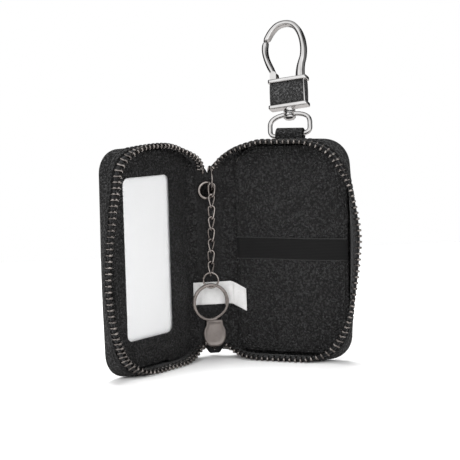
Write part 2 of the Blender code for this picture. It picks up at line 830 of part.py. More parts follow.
def build_chain(jump, finishes):
    """Jump ring, curb links turned alternately, a small ring and the split key ring, each below the last."""
    ring = placed("jump_ring", tube(ring_path(jump_ring_radius, round_steps),
                                    circle(jump_ring_wire / 2,
                                           wire_sides), closed=True), finishes["gunmetal"], jump)
    ring.rotation_euler.z = math.pi / 2
    smooth(ring)
    seat = jump_ring_radius - (jump_ring_wire + link_wire) / 2 - first_link_clearance
    forward = chain_forward - jump_ring_forward
    down = math.sqrt(seat ** 2 - forward ** 2)
    parent, place, heading = jump, Vector((0.0, -forward, -down)), 0.0
    lean = turned(chain_tilt, "Y")
    for number in range(1, link_count + 1):
        next_heading = link_turn if number % 2 == 0 else -link_turn
        if number == 1:
            next_heading = -first_link_turn
        parent = empty(f"link_{number}_pivot", place, parent, lean @ turned(next_heading - heading, "Z"))
        build_link(f"chain_link_{number}", parent, finishes)
        place, heading, lean = Vector((0.0, 0.0, -link_pitch)), next_heading, turned(0.0, "Y")
    end = Vector((0.0, 0.0, -link_pitch - (link_wire + metal_clearance) + (link_wire + small_ring_wire) / 2
                  + metal_clearance))
    small = empty("small_ring_pivot", end, parent, turned(small_ring_turn - heading, "Z"))
    ring = placed("small_ring", tube(ring_path(small_ring_radius, round_steps),
                                     circle(small_ring_wire / 2,
                                            wire_sides), closed=True), finishes["gunmetal"], small)
    ring.location.z = -small_ring_radius
    smooth(ring)
    seat = (small_ring_wire + key_ring_band) / 2 + key_ring_seat_gap
    pivot = empty("key_ring_pivot", Vector((0.0, 0.0, seat - 2 * small_ring_radius)), small,
                  turned(key_ring_turn - small_ring_turn, "Z"))
    path = split_ring_path()
    coil = placed("key_ring", tube(path, band_section(key_ring_band, key_ring_wire), closed=False),
                  finishes["gunmetal"], pivot)
    coil.location.z = -key_ring_radius
    print("key ring least gap mm", round(least_gap(path, ring_steps // 2, key_ring_wire) / MM, 3))
    smooth(coil)


def build_strap(fold, finishes):
    """Leather strap up the back of the right half, over the swivel ring's bar and down again."""
    loop = ring_depth / 2 + strap_loop_room + strap_thickness / 2
    front = fit_gap + strap_thickness / 2
    rear = front + strap_thickness + fit_gap
    centre = front + loop
    neck = bar_height - strap_neck_drop
    path = [Vector((0, front, strap_foot)), Vector((0, front, neck)), Vector((0, front, bar_height))]
    for i in range(1, corner_steps * 2):
        t = math.pi * i / (corner_steps * 2)
        path.append(Vector((0, centre - loop * math.cos(t), bar_height + loop * math.sin(t))))
    path += [Vector((0, centre + loop, bar_height)), Vector((0, (centre + loop + rear) / 2,
                                                             (bar_height + neck) / 2)),
             Vector((0, rear, neck)), Vector((0, rear, strap_foot))]
    half, thick = strap_width / 2, strap_thickness / 2
    section = [(thick, half), (-thick, half), (-thick, -half), (thick, -half)]
    strap = placed("hanging_strap", tube(path, section, closed=False, up=Vector((1, 0, 0))),
                   finishes["leather"], fold)
    strap.location = Vector((strap_place, cover_thickness / 2, 0.0))
    return Vector((strap_place, cover_thickness / 2 + centre, bar_height))


def swivel_ring_path():
    """Centre line of the D ring, flattened towards its lower bar, with that bar at the origin."""
    points = []
    for i in range(ring_steps):
        t = 2 * math.pi * i / ring_steps - math.pi / 2
        c, s = math.cos(t), math.sin(t)
        power = 2 / (ring_bar_squareness if s < 0 else ring_squareness)
        points.append(Vector((ring_half_width * math.copysign(abs(c) ** power, c), 0,
                              ring_half_height * (1 + math.copysign(abs(s) ** power, s)))))
    return points


def build_swivel(pivot, finishes):
    """The D ring with a boss at its top that takes the rivet, and the rivet."""
    ring = placed("swivel_ring", tube(swivel_ring_path(), band_section(ring_band, ring_depth), closed=True),
                  finishes["chrome"], pivot)
    top = 2 * ring_half_height
    profile = ((collar_radius, top - ring_band / 2), (collar_radius, top + ring_band / 2))
    boss = placed("swivel_boss", capped_spin(profile, round_steps), finishes["chrome"], pivot)
    tool = placed("swivel_bore", capped_spin(((rivet_radius + fit_gap, 0.0), (rivet_radius + fit_gap,
                                                                              2 * top)),
                                             round_steps), cutter_finish, pivot)
    tool.location.z = top / 2
    cut(ring, boss, "UNION")
    cut(ring, tool)
    smooth(ring)


def build_rivet(pivot, finishes):
    """Rivet through the ring's boss: its head inside the ring and its collar under the block."""
    top = 2 * ring_half_height
    low = top - ring_band / 2 - fit_gap
    high = block_foot - fit_gap
    collar = top + ring_band / 2 + fit_gap
    profile = ((rivet_head_radius * 0.55, low - rivet_head_height), (rivet_head_radius,
                                                                     low - rivet_head_height * 0.6),
               (rivet_head_radius, low), (rivet_radius, low + tooth_ramp), (rivet_radius,
                                                                            collar - tooth_ramp),
               (collar_radius, collar), (collar_radius, high))
    smooth(placed("swivel_rivet", capped_spin(profile, round_steps), finishes["chrome"], pivot))


def loop_points(shares):
    half = loop_width / 2
    base = block_foot + block_height
    return [Vector((loop_offset + half * a, 0.0, base + loop_height * b)) for a, b, _ in shares]


def varied_band(shares, width, depth_at):
    """Sweep a chamfered band whose width follows the shares, its far end square to the gate's pin."""
    path = loop_points(shares)
    pin = Vector((-gate_pin_place, 0.0, gate_pin_height()))
    last = len(path) - 1
    rings = []
    for i, point in enumerate(path):
        run = (path[min(i + 1, last)] - path[max(i - 1, 0)]).normalized()
        if i == last:
            away = (point - pin).normalized()
            run = away * math.copysign(1.0, run.dot(away))
        side = run.cross(Vector((0, 1, 0)))
        section = band_section(width * shares[i][2], depth_at(i))
        rings.append([point + side * a + Vector((0, b, 0)) for a, b in section])
    return joined_rings(rings, closed=False)


def build_hook(pivot, finishes):
    """Loop, block core, rails and the gate's ears in one casting, with a leather sleeve between the rails."""
    half_block, half_depth = block_width / 2, block_depth / 2
    top = block_foot + block_height
    core_half, core_depth = half_block - sleeve_thickness - fit_gap, half_depth - sleeve_thickness - fit_gap
    frame = placed("hook_frame", prism([(-core_half, block_foot), (core_half, block_foot), (core_half, top),
                                        (-core_half,
                                         top)], -core_depth, core_depth), finishes["chrome"], pivot)
    parts = [placed("hook_loop", varied_band(loop_shares, loop_band, lambda i: loop_depth),
                    finishes["chrome"], pivot)]
    wide, deep = half_block + rail_overhang, half_depth + rail_overhang
    for name, low in (("lower", block_foot), ("upper", top - rail_height)):
        outline = rounded_rectangle(-wide, wide, low, low + rail_height, rail_height / 4)
        parts.append(placed(f"hook_rail_{name}", prism(outline, -deep, deep), finishes["chrome"], pivot))
    pin = gate_pin_height()
    for name, sign in (("front", -1), ("rear", 1)):
        near, far = sign * (half_depth - ear_thickness), sign * half_depth
        outline = [(-gate_pin_place - gate_knuckle_radius, top - rail_height / 2),
                   (-gate_pin_place + gate_knuckle_radius, top - rail_height / 2),
                   (-gate_pin_place + gate_knuckle_radius, pin + gate_knuckle_radius / 2),
                   (-gate_pin_place, pin + gate_knuckle_radius),
                   (-gate_pin_place - gate_knuckle_radius, pin + gate_knuckle_radius / 2)]
        parts.append(placed(f"hook_ear_{name}", prism(outline, min(near, far), max(near, far)),
                            finishes["chrome"], pivot))
    for part in parts:
        cut(frame, part, "UNION")
    reach = block_depth
    hole = placed("hook_pin_hole", prism(circle(gate_pin_radius + fit_gap, round_steps, (-gate_pin_place,
                                                                                         pin)),
                                         -reach, reach), cutter_finish, pivot)
    cut(frame, hole)
    low, high = block_foot + rail_height + fit_gap, top - rail_height - fit_gap
    rings = []
    for z in (low, high):
        outer = rounded_sleeve(half_block, half_depth)
        inner = rounded_sleeve(half_block - sleeve_thickness, half_depth - sleeve_thickness)
        rings.append(([Vector((x, y, z)) for x, y in outer], [Vector((x, y, z)) for x, y in inner]))
    stations = [[rings[0][0][i], rings[1][0][i], rings[1][1][i],
                 rings[0][1][i]] for i in range(len(rings[0][0]))]
    placed("hook_leather_sleeve", joined_rings(stations, closed=True), finishes["leather"], pivot)


def rounded_sleeve(half_width, half_depth):
    return rounded_rectangle(-half_width, half_width, -half_depth, half_depth, half_depth / 3)


def gate_pin_height():
    return block_foot + block_height + gate_pin_rise


def build_gate(pivot, hook, finishes):
    """Sprung gate on its pin; the pivot is the pin's middle. The pin and the spring stay on the hook."""
    pin_place = Vector((-gate_pin_place, 0.0, gate_pin_height()))
    ear_face = block_depth / 2 - ear_thickness
    width = 2 * (ear_face - fit_gap)

    def depth_at(i):
        return width if i < 1 else loop_depth
    leaf = placed("gate", varied_band(gate_shares, gate_band, depth_at), finishes["chrome"], pivot)
    leaf.location = -pin_place
    low = -width / 2
    knuckle = placed("gate_knuckle", prism(circle(gate_knuckle_radius, round_steps), low,
                                           low + gate_knuckle_depth),
                     finishes["chrome"], pivot)
    bore_tool = placed("gate_bore", prism(circle(gate_pin_bore, round_steps), -loop_depth, loop_depth),
                       cutter_finish, pivot)
    room = spring_radius + spring_wire / 2 + fit_gap
    spring_room = placed("gate_spring_room", prism(circle(room, round_steps), low + gate_knuckle_depth,
                                                   loop_depth),
                         cutter_finish, pivot)
    cut(leaf, knuckle, "UNION")
    cut(leaf, bore_tool)
    cut(leaf, spring_room)
    reach = block_depth / 2
    pin = placed("gate_pin", prism(circle(gate_pin_radius, round_steps), -reach, reach), finishes["chrome"],
                 hook)
    pin.location = pin_place
    path = coil_path(spring_radius, spring_pitch, spring_turns, link_steps)
    coil = placed("gate_spring", tube(path, circle(spring_wire / 2, wire_sides), closed=False),
                  finishes["gunmetal"], hook)
    middle = (low + gate_knuckle_depth + ear_face) / 2
    coil.location = pin_place + Vector((0, middle, 0))
    print("gate spring least gap mm", round(least_gap(path, link_steps // 2, spring_wire) / MM, 3))


def stand_on_origin(root):
    """Shift the whole case so that its box is centred over the origin and stands at height zero."""
    bpy.context.view_layer.update()
    corners = []
    for made in bpy.data.objects:
        if made.type == "MESH" and not made.hide_render:
            corners += [made.matrix_world @ vertex.co for vertex in made.data.vertices]
    cloud = np.array([tuple(c) for c in corners])
    low, high = cloud.min(axis=0), cloud.max(axis=0)
    root.location = Vector((-(low[0] + high[0]) / 2, -(low[1] + high[1]) / 2, -low[2]))


def build():
    finishes = {
        "leather": material("black_leather", (0.028, 0.028, 0.03), 0.55, 0.0),
        "lining": material("black_lining", (0.02, 0.02, 0.022), 0.7, 0.0),
        "board": material("grey_board", (0.25, 0.24, 0.22), 0.9, 0.0),
        "tape": material("black_zip_tape", (0.015, 0.015, 0.016), 0.85, 0.0),
        "elastic": material("black_elastic", (0.02, 0.02, 0.02), 0.8, 0.0),
        "gunmetal": material("gunmetal", (0.34, 0.31, 0.29), 0.3, 1.0),
        "chrome": material("polished_chrome", (0.75, 0.74, 0.73), 0.12, 1.0),
        "card": material("white_card", (0.85, 0.85, 0.85), 0.6, 0.0),
        "film": material("clear_film", (0.95, 0.95, 0.95), 0.1, 0.0, 0.25),
        "satin": material("white_satin", (0.82, 0.81, 0.8), 0.45, 0.0),
    }
    root = empty("case_root", Vector((0, 0, 0)))
    axis_depth = -cover_thickness / 2
    left_fold = empty("left_fold", Vector((-spine_width / 2, axis_depth, 0)), root,
                      turned(math.pi + left_rest_angle, "Z"))
    right_fold = empty("right_fold", Vector((spine_width / 2, axis_depth, 0)), root,
                       turned(-right_rest_angle, "Z"))
    build_spine(root, finishes)
    build_eyelet(root, finishes)
    build_spine_trim(root, finishes)
    build_half(1, "left", left_fold, finishes)
    build_window(left_fold, finishes)
    build_half(-1, "right", right_fold, finishes)
    build_card_panel(right_fold, finishes)
    slider = empty("slider_rail", Vector((slider_offset, 0, slider_foot)), root)
    build_slider(slider, finishes)
    bar = fit_gap + slider_plate + pull_stand_off
    tab_pivot = empty("pull_tab_pivot", Vector((0, bar, bridge_foot + pull_seat_height)), slider)
    build_pull_tab(tab_pivot, finishes)
    jump = empty("jump_ring_pivot", Vector((chain_offset, -jump_ring_forward, jump_ring_height)), root)
    build_chain(jump, finishes)
    bar_place = build_strap(right_fold, finishes)
    ring_pivot = empty("swivel_ring_pivot", bar_place, right_fold, turned(-hook_tilt,
                                                                          "Y") @ turned(-hook_lean, "X"))
    build_swivel(ring_pivot, finishes)
    hook = empty("hook_pivot", Vector((0, 0, 0)), ring_pivot, turned(-hook_turn, "Z"))
    build_rivet(hook, finishes)
    build_hook(hook, finishes)
    gate_pivot = empty("gate_pivot", Vector((-gate_pin_place, 0, gate_pin_height())), hook)
    build_gate(gate_pivot, hook, finishes)
    stand_on_origin(root)


for old in list(bpy.data.objects):
    bpy.data.objects.remove(old)
cutter_finish = material("cutter", (1.0, 0.2, 0.2), 0.5, 0.0)
build()
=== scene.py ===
"""Looks of a zip-around key case that stands open like a book, with its chain, label, strap and snap hook."""
import json
import math

import bmesh
import bpy
import numpy as np
from mathutils import Matrix, Vector


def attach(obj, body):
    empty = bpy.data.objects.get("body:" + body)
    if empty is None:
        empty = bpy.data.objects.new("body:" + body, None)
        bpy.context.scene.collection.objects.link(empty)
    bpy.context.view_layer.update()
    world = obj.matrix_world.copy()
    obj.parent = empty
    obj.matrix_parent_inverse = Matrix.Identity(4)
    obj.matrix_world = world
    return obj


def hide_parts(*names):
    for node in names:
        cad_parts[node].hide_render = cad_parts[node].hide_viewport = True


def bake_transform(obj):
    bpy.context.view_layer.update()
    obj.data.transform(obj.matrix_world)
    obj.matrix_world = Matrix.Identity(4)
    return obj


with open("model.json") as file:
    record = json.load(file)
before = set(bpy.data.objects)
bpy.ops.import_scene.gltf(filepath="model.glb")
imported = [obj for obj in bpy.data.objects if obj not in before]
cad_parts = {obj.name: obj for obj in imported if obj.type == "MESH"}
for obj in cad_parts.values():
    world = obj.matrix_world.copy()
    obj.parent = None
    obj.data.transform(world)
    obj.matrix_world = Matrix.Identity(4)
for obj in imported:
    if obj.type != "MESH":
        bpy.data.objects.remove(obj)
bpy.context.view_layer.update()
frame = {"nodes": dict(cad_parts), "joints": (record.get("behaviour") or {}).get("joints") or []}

# Sizes in millimetres, as in the part's source
MM = 0.001
case_height = 112.0
page_width = 63.0
half_spine = 12.5
left_rest = math.radians(42.5)
right_rest = math.radians(30.7)
leather = 1.2
half_leather = leather / 2
shell_corner = 12.5
rim_corner = 27.0
notch_drop = 5.0
notch_run = 18.0
rim_drop = 12.5
rim_runs = {-1: 28.0, 1: 22.0}
back_drops = {-1: (1.0, 1.6), 1: (0.9, -0.7)}
foot_rise = 2.0
foot_run = 15.0
rim_foot_rises = {-1: 4.2, 1: 2.6}
rim_foot_run = 18.0
drop_power = 2.1
slant = 12.9
tooth_pitch = 2.9
tooth_depth = 2.4
wall_slant = 8.2
fold_bend = 3.0
bend_reach = 2.6
spine_seam = 6.0
spine_drop = 17.0
spine_power = 0.7
spine_foot = 4.5
fold_foot = 2.5
slot_half = 4.5
slot_top = 19.5
panel_front_left = 4.7
panel_front_right = 3.4
lining_front = 3.2
panel_left, panel_right, panel_foot, panel_top = 3.2, 61.6, 3.4, 108.6
elastic_start, elastic_end = 3.4, 61.4
window_leather_edge = 59.4
label_height = 11.6
eyelet_place = (-1.0, 86.4)
slider_place = 1.2
key_ring_radius = 8.9
flares = {-1: (math.radians(33.0), 46.0, 46.0, 38.0, 1.7), 1: (math.radians(38.0), 63.0, 36.0, 50.0, 1.6)}
rest_angle = {-1: left_rest, 1: right_rest}
side_name = {-1: "left", 1: "right"}

joints = {joint["name"]: joint for joint in frame["joints"]}
left_pivot, right_pivot = (Vector(joints[name]["pos_m"]) for name in ("left_fold", "right_fold"))
case_origin = np.array((left_pivot + right_pivot) / 2) / MM + (0.0, half_leather, 0.0)


# Meshes
def lay(name, points, faces, material, smooth=True, uv=None):
    """An object of points in millimetres, measured from the middle of the spine's back."""
    mesh = bpy.data.meshes.new(name)
    places = (np.asarray(points, float) + case_origin) * MM
    mesh.from_pydata(places.tolist(), [], [tuple(int(i) for i in face) for face in faces])
    mesh.update()
    if uv is not None:
        layer = mesh.uv_layers.new(name="run")
        spots = np.asarray(uv, float)
        corners = np.empty(len(mesh.loops), int)
        mesh.loops.foreach_get("vertex_index", corners)
        layer.data.foreach_set("uv", spots[corners].ravel())
    if smooth:
        mesh.shade_smooth()
    mesh.materials.append(material)
    made = bpy.data.objects.new(name, mesh)
    bpy.context.scene.collection.objects.link(made)
    return made


def grid_faces(rows, columns, close_rows=False, close_columns=False, start=0):
    """Quads of a grid whose points run along its columns first."""
    faces = []
    for i in range(rows if close_rows else rows - 1):
        for j in range(columns if close_columns else columns - 1):
            a, b = i * columns, (i + 1) % rows * columns
            k = (j + 1) % columns
            faces.append((start + a + j, start + b + j, start + b + k, start + a + k))
    return faces


class Heap:
    """Gathers points and faces of many small pieces into one mesh."""

    def __init__(self):
        self.points, self.faces, self.spots = [], [], []

    def add(self, points, faces, spots=None):
        start = len(self.points)
        self.points.extend(np.asarray(points, float).reshape(-1, 3))
        self.faces.extend(tuple(start + i for i in face) for face in faces)
        self.spots.extend([(0.0, 0.0)] * len(points) if spots is None else spots)

    def grid(self, rows, spots=None, **closed):
        rows = np.asarray(rows, float)
        flat_spots = None if spots is None else [tuple(s) for s in np.asarray(spots, float).reshape(-1, 2)]
        self.add(rows.reshape(-1, 3), grid_faces(rows.shape[0], rows.shape[1], **closed), flat_spots)

    def tube(self, path, section, closed=False, up=(0, 0, 1)):
        """Sweep a closed section of (across, along up) points down a path."""
        rings = swept(path, section, closed, up)
        start = len(self.points)
        self.grid(rings, close_rows=closed, close_columns=True)
        if not closed:
            self.cap(start, len(rings), rings.shape[1])

    def cap(self, start, rings, count):
        """Close both ends of a run of rings of count points, the first of which is at start."""
        last = start + (rings - 1) * count
        self.faces.append(tuple(start + i for i in range(count)))
        self.faces.append(tuple(last + i for i in reversed(range(count))))

    def made(self, name, material, smooth=True):
        return lay(name, self.points, self.faces, material, smooth, self.spots)


def unit(vectors):
    vectors = np.asarray(vectors, float)
    return vectors / np.maximum(np.linalg.norm(vectors, axis=-1, keepdims=True), 1e-9)


def swept(path, section, closed=False, up=(0, 0, 1)):
    """Rings of a section of (across, along up) points at every point of a path."""
    path = np.asarray(path, float)
    if closed:
        run = unit(np.roll(path, -1, 0) - np.roll(path, 1, 0))
    else:
        run = unit(np.gradient(path, axis=0))
    ups = np.broadcast_to(np.asarray(up, float), path.shape)
    side = unit(np.cross(run, ups))
    rise = np.cross(side, run)
    offsets = np.asarray(section, float)[None, :, :]
    return path[:, None, :] + side[:, None, :] * offsets[:, :, :1] + rise[:, None, :] * offsets[:, :, 1:]


def round_section(radius, steps=12):
    return [(radius * math.cos(t), radius * math.sin(t)) for t in np.arange(steps) * math.tau / steps]


def soft_rectangle(width, depth, radius, steps=4):
    """Rounded rectangle, turning the same way as round_section."""
    points = []
    for quarter, (a, b) in enumerate(((1, 1), (-1, 1), (-1, -1), (1, -1))):
        centre = (a * (width / 2 - radius), b * (depth / 2 - radius))
        for step in range(steps + 1):
            t = math.pi / 2 * (quarter + step / steps)
            points.append((centre[0] + radius * math.cos(t), centre[1] + radius * math.sin(t)))
    return points


def smooth_curve(points, steps):
    """Catmull-Rom curve through the points, with so many steps to a span."""
    points = np.asarray(points, float)
    wide = np.vstack([2 * points[0] - points[1], points, 2 * points[-1] - points[-2]])
    made = []
    for a, b, c, d in zip(wide, wide[1:], wide[2:], wide[3:]):
        for t in np.arange(steps) / steps:
            made.append(0.5 * (2 * b + (c - a) * t + (2 * a - 5 * b + 4 * c - d) * t ** 2
                               + (3 * b - a - 3 * c + d) * t ** 3))
    return np.array(made + [points[-1]])


def even(points, count):
    """The same line with evenly spaced points."""
    points = np.asarray(points, float)
    return along(points, np.linspace(0.0, lengths_along(points)[-1], count))


def lengths_along(line):
    """How far along the line each of its points lies."""
    return np.concatenate([[0.0], np.cumsum(np.linalg.norm(np.diff(line, axis=0), axis=1))])


def along(line, distances):
    """Points at distances along a line."""
    return along_vectors(line, line, distances)


def along_vectors(line, vectors, distances):
    """What the vectors at a line's points are at distances along it."""
    run = lengths_along(line)
    return np.stack([np.interp(distances, run, vectors[:, k]) for k in range(3)], axis=1)


def length_of(line):
    return float(np.linalg.norm(np.diff(line, axis=0), axis=1).sum())


# Shader writing
class Wire:
    """A shader socket that can be added, subtracted and multiplied."""

    def __init__(self, shade, socket):
        self.shade, self.socket = shade, socket

    def _two(self, operation, first, second):
        return self.shade.node("ShaderNodeMath", first, second, operation=operation)

    def __add__(self, other):
        return self._two("ADD", self, other)

    def __sub__(self, other):
        return self._two("SUBTRACT", self, other)

    def __rsub__(self, other):
        return self._two("SUBTRACT", other, self)

    def __mul__(self, other):
        return self._two("MULTIPLY", self, other)

    __radd__ = __add__
    __rmul__ = __mul__

    def clamped(self, low, high, to_low=0.0, to_high=1.0):
        """Map low..high smoothly to to_low..to_high."""
        return self.shade.node("ShaderNodeMapRange", self, low, high, to_low, to_high,
                               interpolation_type="SMOOTHSTEP")

    def sine(self):
        return self.shade.node("ShaderNodeMath", self, operation="SINE")


class Shade:
    """One material on a Principled shader, whose other nodes are written as sums."""

    def __init__(self, name, **fixed):
        self.material = bpy.data.materials.new(name)
        self.material.use_nodes = True
        self.tree = self.material.node_tree
        self.shader = self.tree.nodes["Principled BSDF"]
        for socket, value in fixed.items():
            self.shader.inputs[socket.replace("_", " ")].default_value = value

    def node(self, kind, *values, output=0, **settings):
        made = self.tree.nodes.new(kind)
        for key, value in settings.items():
            setattr(made, key, value)
        for place, value in enumerate(values):
            self.join(value, made.inputs[place])
        return Wire(self, made.outputs[output])

    def named(self, kind, inputs, output=0, **settings):
        """A node whose inputs are given by name."""
        made = self.tree.nodes.new(kind)
        for key, value in settings.items():
            setattr(made, key, value)
        for key, value in inputs.items():
            self.join(value, made.inputs[key])
        return Wire(self, made.outputs[output])

    def join(self, value, socket):
        if isinstance(value, Wire):
            self.tree.links.new(value.socket, socket)
        elif value is not None:
            socket.default_value = value

    def place(self):
        return self.named("ShaderNodeTexCoord", {}, output="Object")

    def run(self):
        """Across and along a strip, from its own map."""
        spot = self.named("ShaderNodeUVMap", {}, uv_map="run")
        apart = self.tree.nodes.new("ShaderNodeSeparateXYZ")
        self.join(spot, apart.inputs[0])
        return Wire(self, apart.outputs[0]), Wire(self, apart.outputs[1])

    def noise(self, place, scale, detail=2.0, roughness=0.5):
        return self.named("ShaderNodeTexNoise", {"Vector": place, "Scale": scale, "Detail": detail,
                                                 "Roughness": roughness})

    def cells(self, place, scale, feature="F1", randomness=1.0):
        return self.named("ShaderNodeTexVoronoi", {"Vector": place, "Scale": scale, "Randomness": randomness},
                          feature=feature)

    def mix(self, share, first, second):
        """Blend two colours."""
        made = self.tree.nodes.new("ShaderNodeMix")
        made.data_type = "RGBA"
        self.join(share, made.inputs["Factor"])
        for value, socket in ((first, made.inputs[6]), (second, made.inputs[7])):
            self.join(value if isinstance(value, Wire) else (*value, 1.0), socket)
        return Wire(self, made.outputs[2])

    def shifted(self, place, amount, scale):
        """Push a place about by a noise, so that a pattern loses its regularity."""
        waver = self.named("ShaderNodeTexNoise", {"Vector": place, "Scale": scale, "Detail": 1.0},
                           output="Color")
        centred = self.named("ShaderNodeVectorMath", {0: waver, 1: (0.5, 0.5, 0.5)}, operation="SUBTRACT")
        scaled = self.named("ShaderNodeVectorMath", {0: centred, "Scale": amount}, operation="SCALE")
        return self.named("ShaderNodeVectorMath", {0: place, 1: scaled}, operation="ADD")

    def finish(self, colour=None, roughness=None, height=None, depth=0.1, **others):
        """Wire the varying values in. depth is the height of the relief in millimetres."""
        if colour is not None:
            self.join(colour, self.shader.inputs["Base Color"])
        if roughness is not None:
            self.join(roughness, self.shader.inputs["Roughness"])
        for socket, value in others.items():
            self.join(value, self.shader.inputs[socket.replace("_", " ")])
        if height is not None:
            bump = self.tree.nodes.new("ShaderNodeBump")
            bump.inputs["Strength"].default_value = 1.0
            bump.inputs["Distance"].default_value = depth * MM
            self.join(height, bump.inputs["Height"])
            self.tree.links.new(bump.outputs["Normal"], self.shader.inputs["Normal"])
        return self.material


def grained_leather(name, dark, light, pebble, depth):
    """Pebbled leather: rounded grains between fine creases, each a little different in tone and shine."""
    shade = Shade(name, Specular_IOR_Level=0.5, Sheen_Weight=0.02, Sheen_Roughness=0.4)
    place = shade.place()
    wavy = shade.shifted(place, 0.0011, 800.0)
    crease = shade.cells(wavy, 1.0 / (pebble * MM), "DISTANCE_TO_EDGE", 1.0)
    grain = crease.clamped(0.02, 0.3)
    swell = shade.cells(wavy, 1.0 / (pebble * MM), "F1", 1.0)
    coarse = shade.noise(shade.shifted(place, 0.0012, 600.0), 950.0, 1.2, 0.5)
    patch = shade.noise(place, 55.0, 3.0, 0.6)
    fine = shade.noise(place, 5200.0, 3.0, 0.6)
    height = grain * (0.8 - swell * 0.4) + coarse * 0.8 + fine * 0.03 + patch * 0.3
    tone = (grain * 0.12 - swell * 0.12 + coarse * 1.0 + patch * 0.1).clamped(0.42, 0.76)
    roughness = 0.58 - grain * 0.08 + patch * 0.1
    return shade.finish(shade.mix(tone, dark, light), roughness, height, depth)


def woven_fabric(name, dark, light, rib, depth, sheen=0.15):
    """A strip's weave: ribs across it and finer ones along it, from its own map in metres."""
    shade = Shade(name, Specular_IOR_Level=0.25, Sheen_Weight=sheen, Sheen_Roughness=0.5)
    across, down = shade.run()
    step = math.tau / (rib * MM)
    warp = (across * step).sine() * 0.5 + 0.5
    weft = (down * step * 1.4 + (across * step * 0.5).sine() * 1.6).sine() * 0.5 + 0.5
    fuzz = shade.noise(shade.place(), 2600.0, 3.0, 0.7)
    height = warp * 0.55 + weft * 0.45 + fuzz * 0.4
    colour = shade.mix((height * 0.7).clamped(0.1, 0.9), dark, light)
    return shade.finish(colour, 0.86 - warp * 0.08, height, depth)


def metal(name, dark, light, low, high, scratch=0.02):
    """Plated metal: tone and shine wander, with fine scratches and tiny dents."""
    shade = Shade(name, Metallic=1.0)
    place = shade.place()
    cloud = shade.noise(place, 160.0, 4.0, 0.6)
    stretched = shade.named("ShaderNodeMapping", {"Vector": place, "Scale": (1.0, 1.0, 9.0),
                                                  "Rotation": (0.5, 0.3, 0.0)})
    lines = shade.noise(stretched, 900.0, 4.0, 0.75)
    dents = shade.noise(place, 1500.0, 2.0, 0.5)
    roughness = (cloud * 0.6 + lines * 0.4).clamped(0.3, 0.75, low, high)
    return shade.finish(shade.mix(cloud.clamped(0.35, 0.7), dark, light), roughness,
                        lines * 0.5 + dents * 0.5, scratch)


def thread_look(name, dark, light):
    shade = Shade(name, Specular_IOR_Level=0.35, Sheen_Weight=0.2)
    across, down = shade.run()
    twist = (down * (math.tau / (0.45 * MM)) + across * (math.tau / (0.9 * MM))).sine() * 0.5 + 0.5
    fuzz = shade.noise(shade.place(), 4200.0, 2.0, 0.6)
    return shade.finish(shade.mix(twist, dark, light), 0.72 - twist * 0.12, twist + fuzz * 0.4, 0.05)


def elastic_look():
    """Smooth knitted elastic: fine cords along it, crossed by hardly visible stitches."""
    shade = Shade("Elastic_knit", Specular_IOR_Level=0.3, Sheen_Weight=0.12)
    across, down = shade.run()
    cord = (across * (math.tau / (0.75 * MM))).sine() * 0.5 + 0.5
    stitch = (down * (math.tau / (0.5 * MM)) + cord * 2.0).sine() * 0.5 + 0.5
    fuzz = shade.noise(shade.place(), 3000.0, 3.0, 0.6)
    height = cord * 0.7 + stitch * 0.25 + fuzz * 0.2
    return shade.finish(shade.mix(height.clamped(0.2, 1.0), (0.002, 0.002, 0.0022), (0.0058, 0.0058, 0.006)),
                        0.8 - cord * 0.1, height, 0.08)


def satin_look():
    """White satin ribbon with a fine diagonal weave and a soft crease or two."""
    shade = Shade("Satin_ribbon", Specular_IOR_Level=0.5, Sheen_Weight=0.25, Sheen_Roughness=0.3)
    across, down = shade.run()
    twill = ((across + down) * (math.tau / (0.3 * MM))).sine() * 0.5 + 0.5
    threads = (across * (math.tau / (0.22 * MM))).sine() * 0.5 + 0.5
    cloud = shade.noise(shade.place(), 220.0, 3.0, 0.6)
    tone = (cloud * 0.7 + twill * 0.15 + threads * 0.15).clamped(0.2, 0.8)
    return shade.finish(shade.mix(tone, (0.72, 0.71, 0.705), (0.9, 0.895, 0.89)), 0.36 + twill * 0.12,
                        twill * 0.5 + threads * 0.3 + cloud * 2.2, 0.03)


def card_look(name, dark, light, roughness, relief=0.012):
    """Paper or fibreboard with fibres and a faint cloud."""
    shade = Shade(name, Specular_IOR_Level=0.3)
    place = shade.place()
    fibre = shade.noise(place, 1800.0, 5.0, 0.75)
    cloud = shade.noise(place, 40.0, 2.0, 0.5)
    tone = (fibre * 0.35 + cloud * 0.65).clamped(0.3, 0.7)
    return shade.finish(shade.mix(tone, dark, light), roughness - fibre * 0.1, fibre, relief)


def film_look():
    """Clear soft film, hardly there but for its shine, with faint ripples and scuffs. Its white base shows
    more at glancing angles, a painted reflection.
    """
    shade = Shade("Clear_film", Base_Color=(0.93, 0.94, 0.95, 1.0), Specular_IOR_Level=0.6)
    place = shade.place()
    ripple = shade.noise(place, 70.0, 2.0, 0.5)
    scuff = shade.noise(place, 900.0, 4.0, 0.7)
    # Opacity of the white base grows towards glancing angles: a painted reflection.
    edge = shade.named("ShaderNodeLayerWeight", {"Blend": 0.25}, output="Facing")
    return shade.finish(None, scuff.clamped(0.4, 0.8, 0.14, 0.2), ripple, 0.0006,
                        Alpha=edge * 0.25 + 0.04)


